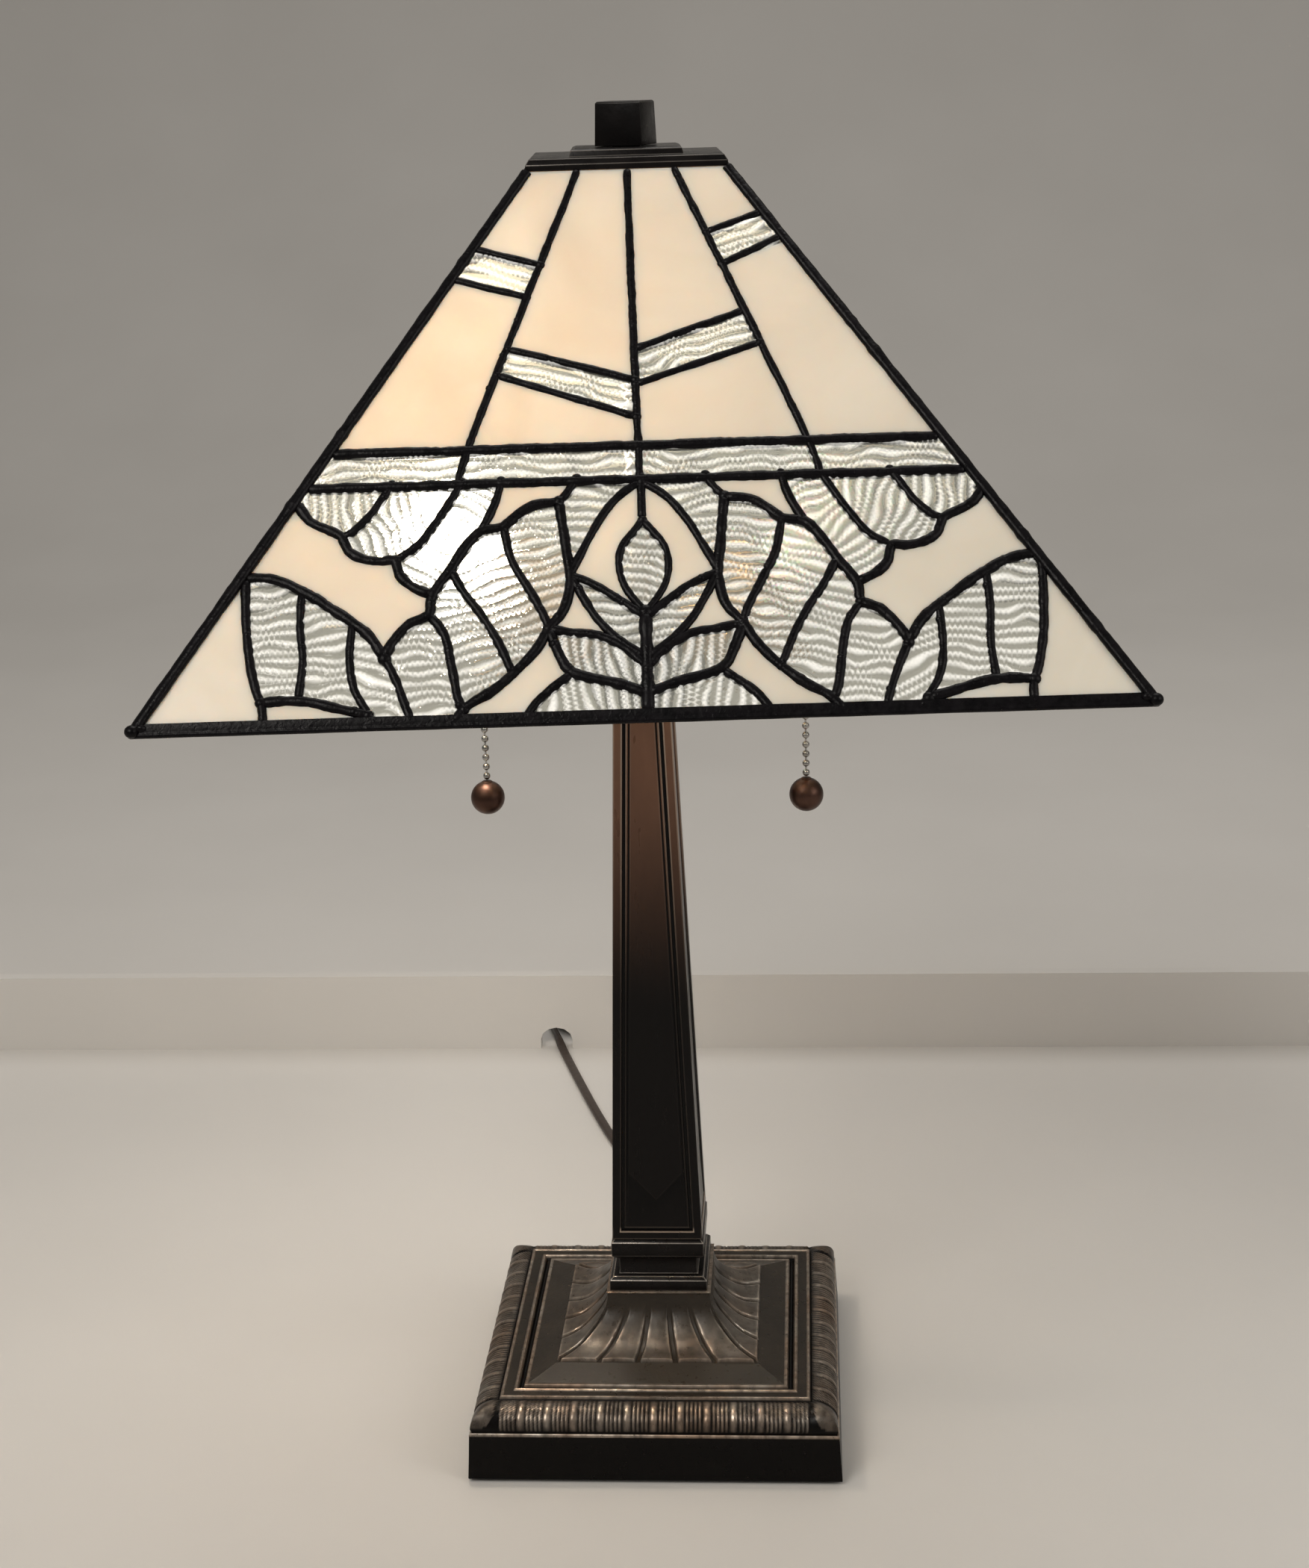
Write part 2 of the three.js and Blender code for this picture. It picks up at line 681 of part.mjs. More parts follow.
function makeShade() {
  const shade = new THREE.Group();
  shade.rotation.z = shadeTurn;
  lamp.add(shade);
  const glass = extruded(faceOutline(hipMargin, glassFoot, glassTop), glassThickness);
  const net = leadNet();
  ['front', 'right', 'back', 'left'].forEach((name, side) => {
    const turn = new THREE.Group();
    turn.rotation.z = (side * Math.PI) / 2;
    shade.add(turn);
    const face = new THREE.Group();
    face.position.set(0, -faceHalf, rimZ);
    face.rotation.x = faceLean;
    turn.add(face);
    piece(face, `glass_panel_${name}`, glass.clone(), 'opal_glass').position.z = -glassThickness / 2;
    piece(face, `lead_lines_${name}`, net.clone(), 'lead').position.z = glassThickness / 2 + gap;
    piece(turn, `corner_came_${name}_${['right', 'back', 'left', 'front'][side]}`, hip(), 'lead');
  });
  const rim = [
    [shadeHalf - rimThickness - 0.4, rimZ],
    [shadeHalf, rimZ],
    [shadeHalf - 0.2, rimZ + rimDepth / 2],
    [faceHalfAt(rimDepth) + 2.2 * upward, rimZ + rimDepth * upward + 2.2 * inward],
    [faceHalfAt(rimDepth) - 2.2 * upward, rimZ + rimDepth * upward - 2.2 * inward],
  ];
  piece(shade, 'shade_rim', squared(rim), 'lead');
  const ringHalf = capHalf - capBandTaper - gap;
  const ringTop = capBandTopZ - capSheet - gap;
  const ring = [
    [ringHalf - topRingWidth, ringTop - topRingHeight],
    [ringHalf, ringTop - topRingHeight],
    [ringHalf, ringTop],
    [ringHalf - topRingWidth, ringTop],
  ];
  piece(shade, 'top_ring', squared(ring), 'brass');
  makeCap(shade);
}

function makeCap(shade) {
  const profile = [
    [capHalf, capZ],
    [capHalf - 0.1, capZ + capBandHeight * 0.5],
    [capHalf - capBandTaper, capBandTopZ],
    [capStepHalf, capBandTopZ],
    [capStepHalf - capStepTaper * 0.3, capTopZ - 0.6],
    [capStepHalf - capStepTaper, capTopZ],
    [rodHoleHalf, capTopZ],
    [rodHoleHalf, capTopZ - capSheet],
    [capStepHalf - capStepTaper - capSheet, capTopZ - capSheet],
    [capStepHalf - capSheet, capBandTopZ - capSheet],
    [capHalf - capBandTaper, capBandTopZ - capSheet],
    [capHalf - capBandTaper, capZ],
  ];
  piece(shade, 'shade_cap', squared(profile), 'black_bronze');
}

function makeSeatAndFinial() {
  const seatZ = capTopZ - capSheet - gap - seatNutHeight;
  piece(lamp, 'seat_nut', hexNut(seatZ, seatNutHeight, nutRadius), 'brass');
  const topHalf = finialHalf - finialTaper;
  const finialTop = finialZ + finialHeight;
  const profile = [
    [0, finialZ + finialHoleDepth],
    [rodHoleHalf, finialZ + finialHoleDepth],
    [rodHoleHalf, finialZ],
    [finialHalf, finialZ],
    [topHalf, finialTop - 0.6],
    [topHalf - 0.6, finialTop],
    [0, finialTop],
  ];
  piece(lamp, 'finial', squared(profile), 'black_bronze').rotation.z = finialTurn;
}

// ---------- cord ----------
function flatSection() {
  const x = cordWidth / 2;
  const y = cordThickness / 2;
  const corner = 0.8;
  return [
    [x, -y + corner], [x, y - corner], [x - corner, y], [corner - x, y],
    [-x, y - corner], [-x, corner - y], [corner - x, -y], [x - corner, -y],
  ];
}

// A tube with a flat section lying on its wide side along a route that stays nearly level.
function cordTube(route, steps) {
  const curve = new THREE.CatmullRomCurve3(route.map((point) => new THREE.Vector3(...point)));
  const section = flatSection();
  const flat = outline(section.map(([across, up]) => [up, across]));
  curve.computeFrenetFrames = (count) => {
    const frames = { tangents: [], normals: [], binormals: [] };
    for (let i = 0; i <= count; i++) {
      const tangent = curve.getTangentAt(i / count);
      const across = tangent.clone().cross(new THREE.Vector3(0, 0, 1)).normalize();
      frames.tangents.push(tangent);
      frames.normals.push(across.clone().cross(tangent));
      frames.binormals.push(across);
    }
    return frames;
  };
  return new THREE.ExtrudeGeometry(flat, { steps, extrudePath: curve, bevelEnabled: false });
}

function makeBushing() {
  const flangeFoot = gap;
  const profile = [
    [0, -bushingNeck],
    [bushingNeckRadius, -bushingNeck],
    [bushingNeckRadius, flangeFoot],
    [bushingFlangeRadius, flangeFoot],
    [bushingFlangeRadius, flangeFoot + bushingFlange],
    [bushingNeckRadius, flangeFoot + bushingFlange],
    [bushingTipRadius, bushingLength],
    [0, bushingLength],
  ];
  const wallAt = plinthHalf - (plinthTaper * (bushingZ - bushingFlangeRadius - castFootZ)) / plinthHeight;
  const geometry = turned(profile, 12).rotateX(-Math.PI / 2).translate(0, wallAt, bushingZ);
  piece(lamp, 'cord_bushing', geometry, 'phenolic');
}

function makeCord() {
  piece(lamp, 'power_cord', cordTube(cordRoute, 30), 'cord_vinyl');
  piece(lamp, 'cord_tail', cordTube(tailRoute, 2), 'cord_vinyl');
  const inner = coilRadius - coilWidth / 2;
  const outer = coilRadius + coilWidth / 2;
  const ring = turned([[inner, 0.1], [outer, 0.1], [outer, coilHeight], [inner, coilHeight]], 24);
  piece(lamp, 'cord_coil', ring.translate(coilCentre[0], coilCentre[1], 0), 'cord_vinyl');
  const plug = new THREE.Group();
  plug.position.set(plugPlace[0], plugPlace[1], 0.1);
  plug.rotation.z = plugHeading;
  lamp.add(plug);
  const body = [
    [0, -plugTailWidth / 2], [plugLength * 0.55, -plugWidth / 2], [plugLength, -plugWidth / 2],
    [plugLength, plugWidth / 2], [plugLength * 0.55, plugWidth / 2], [0, plugTailWidth / 2],
  ];
  piece(plug, 'plug_body', extruded(body, plugHeight), 'cord_vinyl');
  for (const [name, side] of [['neutral', -1], ['live', 1]]) {
    const blade = new THREE.BoxGeometry(bladeLength, bladeThickness, bladeWidth);
    const place = [plugLength + gap + bladeLength / 2, (side * bladeSpacing) / 2, plugHeight / 2];
    piece(plug, `plug_blade_${name}`, blade, 'brass').position.set(...place);
  }
}

makeBase();
makeRod();
makeCollar();
makeColumn();
makeCluster();
makeSocket(-1, 'left');
makeSocket(1, 'right');
makeChain(-1, 'left');
makeChain(1, 'right');
makeShade();
makeSeatAndFinial();
makeBushing();
makeCord();

export default lamp;
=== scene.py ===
import math
import random

import bmesh
import bpy
import numpy as np
from mathutils import Matrix, Vector, noise
from mathutils.geometry import delaunay_2d_cdt


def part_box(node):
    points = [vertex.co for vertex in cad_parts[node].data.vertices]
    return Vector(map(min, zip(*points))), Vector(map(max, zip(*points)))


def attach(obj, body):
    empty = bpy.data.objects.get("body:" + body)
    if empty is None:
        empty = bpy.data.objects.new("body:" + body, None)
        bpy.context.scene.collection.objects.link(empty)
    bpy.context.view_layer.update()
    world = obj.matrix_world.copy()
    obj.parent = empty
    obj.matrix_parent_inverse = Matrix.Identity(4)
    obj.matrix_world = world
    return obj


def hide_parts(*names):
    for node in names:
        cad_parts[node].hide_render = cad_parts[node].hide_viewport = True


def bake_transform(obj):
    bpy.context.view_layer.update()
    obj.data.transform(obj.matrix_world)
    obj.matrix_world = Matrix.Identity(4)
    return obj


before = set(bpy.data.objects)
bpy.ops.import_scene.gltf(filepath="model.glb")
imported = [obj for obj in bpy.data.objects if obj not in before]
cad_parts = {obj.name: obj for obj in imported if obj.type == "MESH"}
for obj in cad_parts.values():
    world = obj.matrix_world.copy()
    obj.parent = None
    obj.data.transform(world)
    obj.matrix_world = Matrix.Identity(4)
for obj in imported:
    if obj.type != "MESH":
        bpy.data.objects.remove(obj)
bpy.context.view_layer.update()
MM = 0.001
rng = random.Random(11)


def linked(name, data):
    """A new object in the scene."""
    obj = bpy.data.objects.new(name, data)
    bpy.context.collection.objects.link(obj)
    return obj


# ---------- camera ----------
def look(yaw, pitch, roll):
    forward = Vector((-math.sin(yaw) * math.cos(pitch), math.cos(yaw) * math.cos(pitch), -math.sin(pitch)))
    right = Vector((math.cos(yaw), math.sin(yaw), 0))
    up = right.cross(forward)
    side = math.cos(roll) * right + math.sin(roll) * up
    top = -math.sin(roll) * right + math.cos(roll) * up
    return Matrix((side, top, -forward)).transposed().to_4x4()


camera = linked("camera", bpy.data.cameras.new("camera"))
camera.data.sensor_width = 36
camera.data.lens = 54.86
camera.data.clip_end = 60
camera.matrix_world = Matrix.Translation((0.0717, -0.9904, 0.5967)) @ look(
    math.radians(3.93), math.radians(16.89), math.radians(-1.75)
)
bpy.context.scene.camera = camera
bpy.context.scene.view_settings.view_transform = "Standard"


# ---------- node helpers ----------
class Finish:
    """A node material round one Principled shader."""

    def __init__(self, name, colour=(0.5, 0.5, 0.5), roughness=0.5, metallic=0.0, **sockets):
        self.material = bpy.data.materials.new(name)
        self.material.use_nodes = True
        self.tree = self.material.node_tree
        self.shader = next(n for n in self.tree.nodes if n.type == "BSDF_PRINCIPLED")
        self.set("Base Color", (*colour, 1))
        self.set("Roughness", roughness)
        self.set("Metallic", metallic)
        for socket, value in sockets.items():
            self.set(socket.replace("_", " "), value)
        self.place = self.node("ShaderNodeTexCoord").outputs["Object"]

    def set(self, socket, value):
        if isinstance(value, bpy.types.NodeSocket):
            self.tree.links.new(value, self.shader.inputs[socket])
        else:
            self.shader.inputs[socket].default_value = value

    def node(self, kind, inputs=(), **options):
        made = self.tree.nodes.new(kind)
        for option, value in options.items():
            setattr(made, option, value)
        for socket, value in dict(inputs).items():
            if isinstance(value, bpy.types.NodeSocket):
                self.tree.links.new(value, made.inputs[socket])
            else:
                made.inputs[socket].default_value = value
        return made

    def grain(self, scale, detail=3, stretch=(1, 1, 1), distortion=0.0):
        """Noise of about 1/scale metres, from 0 to 1."""
        mapped = self.node("ShaderNodeMapping", {"Vector": self.place, "Scale": stretch})
        inputs = {"Vector": mapped.outputs[0], "Scale": scale, "Detail": detail, "Distortion": distortion}
        return self.node("ShaderNodeTexNoise", inputs).outputs[0]

    def ramp(self, value, stops, smooth=False):
        made = self.node("ShaderNodeValToRGB", {"Fac": value})
        elements = made.color_ramp.elements
        if smooth:
            made.color_ramp.interpolation = "EASE"
        while len(elements) < len(stops):
            elements.new(0.5)
        for element, (place, colour) in zip(elements, stops):
            element.position = place
            element.color = (*colour, 1) if hasattr(colour, "__len__") else (colour, colour, colour, 1)
        return made.outputs["Color"]

    def mix(self, share, a, b, blend="MIX"):
        made = self.node("ShaderNodeMix", {0: share}, data_type="RGBA", blend_type=blend)
        for index, value in ((6, a), (7, b)):
            if isinstance(value, bpy.types.NodeSocket):
                self.tree.links.new(value, made.inputs[index])
            else:
                made.inputs[index].default_value = (*value, 1)
        return made.outputs[2]

    def math(self, operation, a, b=0.0):
        return self.node("ShaderNodeMath", {0: a, 1: b}, operation=operation, use_clamp=True).outputs[0]

    def attribute(self, name):
        return self.node("ShaderNodeAttribute", attribute_name=name).outputs["Fac"]

    def bump(self, height, distance, strength=1.0):
        inputs = {"Height": height, "Distance": distance * MM, "Strength": strength}
        self.set("Normal", self.node("ShaderNodeBump", inputs).outputs[0])
        return self


def black_bronze():
    """Near-black bronze; the wear attribute marks the rounded edges, which are painted brighter,
    partly as rubbed metal and partly as a painted highlight.
    """
    f = Finish("black_bronze", metallic=0.15)
    dark = f.ramp(f.grain(60, 4), [(0.3, (0.0030, 0.0024, 0.0024)), (0.7, (0.0085, 0.0064, 0.0058))])
    # Marked edges take a lighter metal colour: partly rubbed metal, partly a painted highlight.
    wear = f.math("MULTIPLY", f.attribute("wear"), f.ramp(f.grain(75, 3), [(0.3, 0.45), (0.6, 1.0)]))
    f.set("Base Color", f.mix(wear, dark, (0.40, 0.36, 0.32)))
    f.set("Metallic", f.ramp(wear, [(0.0, 0.1), (0.7, 0.8)]))
    f.set("Specular IOR Level", 0.17)
    f.set("Roughness", f.ramp(f.grain(220, 3), [(0.3, 0.24), (0.75, 0.38)]))
    return f.bump(f.grain(700, 3), 0.05)


def bronze_with_wear_and_sheen():
    """Dark bronze whose raised edges, marked by the mesh's wear attribute, are rubbed bright and also
    carry a painted highlight. Up to the ledge it is near black and above it brown, a painted sheen
    of the room's light on the upper surfaces.
    """
    f = Finish("bronze_with_wear_and_sheen", metallic=0.5)
    height = f.node("ShaderNodeSeparateXYZ", {0: f.place}).outputs[2]
    # Near black below about 33 mm and brown above: a painted sheen standing in for room light reflected off
    # the upper surfaces.
    above = f.node("ShaderNodeMapRange", {0: height, 1: 0.0332, 2: 0.0344}).outputs[0]
    painted_sheen_brown = f.ramp(f.grain(45, 4), [(0.3, (0.021, 0.016, 0.0115)), (0.7, (0.036, 0.028, 0.020))])
    dark = f.mix(above, (0.0026, 0.0020, 0.0018), painted_sheen_brown)
    bright = f.ramp(f.grain(30, 3), [(0.35, (0.56, 0.50, 0.43)), (0.65, (0.47, 0.34, 0.25))])
    streaks = f.ramp(f.grain(260, 4, (1, 1, 0.4)), [(0.34, 0.35), (0.62, 1.0)])
    # The bright mix on marked edges is partly rubbed metal and partly a painted highlight.
    wear = f.math("MULTIPLY", f.attribute("wear"), streaks)
    f.set("Base Color", f.mix(wear, dark, bright))
    f.set("Metallic", f.ramp(wear, [(0.0, 0.1), (0.7, 0.95)]))
    f.set("Specular IOR Level", f.ramp(above, [(0.0, 0.12), (1.0, 0.30)]))
    f.set("Roughness", f.ramp(f.grain(300, 3), [(0.3, 0.26), (0.75, 0.40)]))
    return f.bump(f.grain(650, 4), 0.06)


def column_bronze():
    """Black at the foot and browner towards the top, a painted light standing in for the bulbs
    shining down on the upper column. The wear attribute is above 0 on rubbed edges, which show more
    the higher they are and at the foot, a painted highlight as well as rubbing, and below 0 in the
    grooves, which are painted near black as shade."""
    f = Finish("column_bronze", Specular_IOR_Level=0.2, metallic=0.4)
    level = f.node("ShaderNodeSeparateXYZ", {0: f.place}).outputs[2]
    # The mix towards brown rises with height: a painted light standing in for the bulbs shining down on the
    # upper column.
    rise = {0: level, 1: 0.195, 2: 0.34}
    height = f.node("ShaderNodeMapRange", rise, interpolation_type="SMOOTHSTEP").outputs[0]
    foot = f.node("ShaderNodeMapRange", {0: level, 1: 0.0925, 2: 0.0906}).outputs[0]
    cloud = f.math("MULTIPLY", height, f.ramp(f.grain(28, 5, (1, 1, 0.3)), [(0.25, 0.5), (0.7, 1.0)]))
    plain = f.mix(cloud, (0.0042, 0.0032, 0.0030), (0.235, 0.125, 0.082))
    # Grooves, where the attribute is below 0, are painted near black: painted shade.
    groove_painted_shade = f.mix(f.math("MULTIPLY", f.attribute("wear"), -1.0), plain, (0.0012, 0.0009, 0.0010))
    # Marked edges are painted brighter higher up and at the foot: partly rubbed metal, partly a painted
    # highlight.
    painted_highlight_share = f.math("ADD", f.math("MULTIPLY", height, 0.9), foot)
    rubbed = f.math("MULTIPLY", f.attribute("wear"), f.math("ADD", painted_highlight_share, 0.05))
    f.set("Base Color", f.mix(rubbed, groove_painted_shade, (0.46, 0.37, 0.30)))
    f.set("Metallic", f.ramp(rubbed, [(0.0, 0.25), (0.6, 0.9)]))
    f.set("Roughness", f.ramp(f.grain(240, 3, (1, 1, 0.2)), [(0.3, 0.26), (0.75, 0.40)]))
    return f.bump(f.grain(600, 3, (1, 1, 0.25)), 0.05)


def solder():
    f = Finish("black_patina_solder", Specular_IOR_Level=0.13, metallic=0.0)
    low, high = (0.0014, 0.0011, 0.0016), (0.0058, 0.0046, 0.0058)
    f.set("Base Color", f.ramp(f.grain(160, 4), [(0.35, low), (0.7, high)]))
    f.set("Roughness", f.ramp(f.grain(420, 3), [(0.3, 0.22), (0.75, 0.44)]))
    return f.bump(f.grain(520, 3, distortion=0.6), 0.22)


def opal():
    # The faint emission is a painted glow, standing in for the bulb's light shining through the opal.
    f = Finish(
        "opal_glass", roughness=0.2, Subsurface_Weight=1.0, Subsurface_Scale=0.006,
        Subsurface_Radius=(1.0, 0.82, 0.66), IOR=1.5, Coat_Weight=0.15, Coat_Roughness=0.08,
        Emission_Strength=0.10,
    )
    cloud = f.grain(16, 3, distortion=1.2)
    f.set("Base Color", f.ramp(cloud, [(0.3, (0.665, 0.630, 0.545)), (0.7, (0.722, 0.698, 0.628))]))
    f.set("Emission Color", f.ramp(cloud, [(0.3, (0.74, 0.69, 0.57)), (0.7, (0.78, 0.75, 0.66))]))
    return f.bump(f.grain(70, 3), 0.12)


def rippled():
    f = Finish("clear_rippled_glass", colour=(0.95, 0.95, 0.92), roughness=0.05, IOR=1.5,
               Transmission_Weight=0.9, Subsurface_Weight=1.0, Subsurface_Scale=0.006,
               Subsurface_Radius=(1.0, 1.0, 1.0))
    crest = f.attribute("crest")
    # Crests are painted lighter and troughs darker, and the crests glow: painted highlights and shade
    # standing in for light bent through the ripples.
    f.set("Base Color", f.ramp(crest, [(0.3, (0.50, 0.50, 0.44)), (0.8, (0.98, 0.98, 0.94))]))
    f.set("Emission Color", f.ramp(crest, [(0.4, (0.09, 0.088, 0.075)), (0.92, (1.0, 0.97, 0.90))]))
    f.set("Emission Strength", 0.52)
    seeds = f.node("ShaderNodeTexVoronoi", {"Vector": f.place, "Scale": 380.0}).outputs[0]
    bubbles = f.ramp(seeds, [(0.05, 1.0), (0.2, 0.0)])
    return f.bump(bubbles, 0.12)


def lamp_glass(name, lit):
    f = Finish(name, colour=(0.93, 0.92, 0.88), roughness=0.28, Subsurface_Weight=0.8,
               Subsurface_Scale=0.004, Coat_Weight=0.4)
    if lit:
        f.set("Emission Color", (1.0, 0.86, 0.72, 1))
        f.set("Emission Strength", 75.0)
    f.set("Roughness", f.ramp(f.grain(90, 2), [(0.3, 0.24), (0.7, 0.32)]))
    return f


def metal(name, light, dark, low, high, bump=0.03):
    f = Finish(name, metallic=1.0)
    f.set("Base Color", f.ramp(f.grain(90, 4), [(0.35, dark), (0.65, light)]))
    f.set("Roughness", f.ramp(f.grain(500, 3), [(0.3, low), (0.7, high)]))
    return f.bump(f.grain(900, 2), bump)


def dull(name, light, dark, low, high, scale=300, bump=0.05, **sockets):
    f = Finish(name, **sockets)
    f.set("Base Color", f.ramp(f.grain(scale, 4), [(0.3, dark), (0.7, light)]))
    f.set("Roughness", f.ramp(f.grain(scale * 2, 3), [(0.3, low), (0.7, high)]))
    return f.bump(f.grain(scale * 3, 3), bump)


finishes = {
    "black": black_bronze().material,
    "worn_and_lit": bronze_with_wear_and_sheen().material,
    "column": column_bronze().material,
    "solder": solder().material,
    "opal": opal().material,
    "clear": rippled().material,
    "lit": lamp_glass("lit_bulb_glass", True).material,
    "unlit": lamp_glass("bulb_glass", False).material,
    "brass": metal("aged_brass", (0.46, 0.31, 0.14), (0.30, 0.19, 0.085), 0.25, 0.42).material,
    "steel": metal("zinc_steel", (0.56, 0.55, 0.53), (0.40, 0.39, 0.37), 0.28, 0.45).material,
    "nickel": metal("dark_nickel", (0.50, 0.485, 0.46), (0.26, 0.25, 0.235), 0.08, 0.18).material,
    "ball": metal("copper_bronze", (0.115, 0.064, 0.048), (0.066, 0.037, 0.028), 0.33, 0.42).material,
    "phenolic": dull("black_phenolic", (0.030, 0.028, 0.027), (0.015, 0.014, 0.013), 0.35, 0.5).material,
    "card": dull("brown_card", (0.26, 0.17, 0.10), (0.16, 0.10, 0.06), 0.8, 0.95).material,
    "felt": dull("dark_felt", (0.055, 0.052, 0.048), (0.020, 0.019, 0.018), 0.9, 1.0, 900, 0.3,
                 Sheen_Weight=0.5).material,
    "vinyl": dull("brown_vinyl", (0.046, 0.031, 0.024), (0.030, 0.020, 0.015), 0.34, 0.48,
                  160, 0.04).material,
    "floor": dull("floor", (0.63, 0.61, 0.58), (0.60, 0.58, 0.55), 0.7, 0.8, 4, 0.02).material,
}


# ---------- mesh helpers ----------
def shade(mesh, sharp):
    mesh.polygons.foreach_set("use_smooth", [True] * len(mesh.polygons))
    mesh.set_sharp_from_angle(angle=math.radians(sharp))


def place(name, mesh, finish, body, slot, replaces=(), matrix=None):
    obj = linked(name, mesh)
    if matrix is not None:
        obj.matrix_world = Matrix.Translation(matrix.translation * MM) @ matrix.to_3x3().to_4x4()
    if not mesh.materials:
        mesh.materials.append(finishes[finish])
    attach(obj, body)
    if replaces:
        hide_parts(*replaces)
    return obj


def mesh_of(name, verts, faces, sharp=40, weld=False, **values):
    mesh = bpy.data.meshes.new(name)
    mesh.from_pydata((np.asarray(verts, float) * MM).tolist(), [], faces)
    for key, numbers in values.items():
        mesh.attributes.new(key, "FLOAT", "POINT").data.foreach_set("value", np.asarray(numbers, np.float32))
    if weld:
        bm = bmesh.new()
        bm.from_mesh(mesh)
        bmesh.ops.remove_doubles(bm, verts=bm.verts, dist=2e-6)
        bmesh.ops.recalc_face_normals(bm, faces=bm.faces)
        bm.to_mesh(mesh)
        bm.free()
    mesh.validate()
    shade(mesh, sharp)
    return mesh


def refined(node, finish, body, slot, width, segments=3, name=None, angle=25, wear=0.0):
    """The CAD node's own shape with its flat faces whole and its edges rounded and rubbed, the
    rounds painted bright partly as rubbed metal and partly as a painted highlight.
    """
    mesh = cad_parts[node].data.copy()
    mesh.materials.clear()
    bm = bmesh.new()
    bm.from_mesh(mesh)
    bmesh.ops.remove_doubles(bm, verts=bm.verts, dist=2e-6)
    bmesh.ops.dissolve_limit(bm, angle_limit=math.radians(1), verts=bm.verts, edges=bm.edges)
    edges = [e for e in bm.edges if len(e.link_faces) == 2 and e.calc_face_angle(0) > math.radians(angle)]
    layer = bm.faces.layers.float.new("wear")
    made = bmesh.ops.bevel(bm, geom=edges, offset=width * MM, segments=segments, profile=0.5,
                           affect="EDGES", clamp_overlap=True)
    for face in made["faces"]:
        face.normal_update()
        # Upward-facing rounds get the full mark and the rest a fifth: a painted highlight where light from
        # above falls.
        face[layer] = wear if face.normal.z > 0.3 else 0.2 * wear
    bm.to_mesh(mesh)
    bm.free()
    shade(mesh, 35)
    return place(name or node + "_look", mesh, finish, body, slot, [node])


class Shape:
    """Points and faces gathered from several simple forms, with a value for each point if need be."""

    def __init__(self):
        self.verts, self.faces, self.values = [], [], []

    def add(self, verts, faces, matrix=None):
        start = len(self.verts)
        if matrix is not None:
            verts = [tuple(matrix @ Vector(v)) for v in verts]
        self.verts += [tuple(v) for v in verts]
        self.faces += [tuple(i + start for i in face) for face in faces]
        return self

    def rings(self, rings, closed=False, matrix=None):
        """Skins a row of equal rings of points; its ends are closed unless the row is a loop."""
        n = len(rings[0])
        faces = []
        rows = len(rings) if closed else len(rings) - 1
        for i in range(rows):
            a, b = i * n, ((i + 1) % len(rings)) * n
            faces += [(a + j, a + (j + 1) % n, b + (j + 1) % n, b + j) for j in range(n)]
        if not closed:
            faces.append(tuple(reversed(range(n))))
            faces.append(tuple(range((len(rings) - 1) * n, len(rings) * n)))
        return self.add([p for ring in rings for p in ring], faces, matrix)

    def lathe(self, profile, segments=40, matrix=None):
        """A profile of (radius, height) turned about Z; a loop if its ends aren't on the axis."""
        angles = [2 * math.pi * i / segments for i in range(segments)]
        steps = [(math.cos(a), math.sin(a)) for a in angles]
        rings = [[(max(r, 0.004) * c, max(r, 0.004) * s, z) for c, s in steps] for r, z in profile]
        on_axis = profile[0][0] == 0 and profile[-1][0] == 0
        return self.rings(rings, closed=not on_axis, matrix=matrix)

    def ball(self, centre, radius, rings=8, segments=12, squash=(1, 1, 1)):
        profile = [(radius * math.sin(math.pi * i / rings), -radius * math.cos(math.pi * i / rings))
                   for i in range(rings + 1)]
        profile[0], profile[-1] = (0, -radius), (0, radius)
        matrix = Matrix.Translation(centre) @ Matrix.Diagonal((*squash, 1))
        return self.lathe(profile, segments, matrix)

    def piece(self, name, finish, body, slot, replaces=(), sharp=40, matrix=None):
        mesh = mesh_of(name, self.verts, self.faces, sharp, weld=True)
        return place(name, mesh, finish, body, slot, replaces, matrix)


def turned(node, profile, segments, finish, body, slot, matrix=None, sharp=40, name=None):
    """A turned form in place of one CAD node."""
    shape = Shape().lathe(profile, segments, matrix)
    shape.piece(name or node + "_look", finish, body, slot, [node], sharp)


def arc(cx, cz, rx, rz, start, end, steps):
    angles = [math.radians(start + (end - start) * i / steps) for i in range(steps + 1)]
    return [(cx + rx * math.cos(a), cz + rz * math.sin(a)) for a in angles]


def smooth(value, low, high):
    t = np.clip((value - low) / (high - low), 0, 1)
    return t * t * (3 - 2 * t)


def square_sweep(profile, shares, relief=None):
    """Four mitred sides of a square form, from a profile of (half, z) with its outside on the left
    as it rises. relief(x, share, row, length along the profile) moves a point out by that much."""
    line = np.array(profile, float)
    ahead = np.gradient(line, axis=0)
    ahead /= np.linalg.norm(ahead, axis=1)[:, None]
    out = np.stack([ahead[:, 1], -ahead[:, 0]], 1)
    along = np.concatenate([[0], np.cumsum(np.linalg.norm(np.diff(line, axis=0), axis=1))])
    verts, wear, faces = [], [], []
    n = len(shares)
    for side in range(4):
        c, s = [(1, 0), (0, 1), (-1, 0), (0, -1)][side]
        start = len(verts)
        for row, (half, z) in enumerate(line):
            offset = np.zeros(n)
            worn_and_lit = np.zeros(n)
            if relief:
                offset, worn_and_lit = relief(shares * half, shares, row, along[row])
            reach = half + offset * out[row, 0]
            x, y, up = shares * reach, -reach, z + offset * out[row, 1]
            verts += list(zip(c * x - s * y, s * x + c * y, up))
            wear += list(worn_and_lit)
        for row in range(len(line) - 1):
            a, b = start + row * n, start + (row + 1) * n
            faces += [(a + i, a + i + 1, b + i + 1, b + i) for i in range(n - 1)]
    return verts, faces, wear


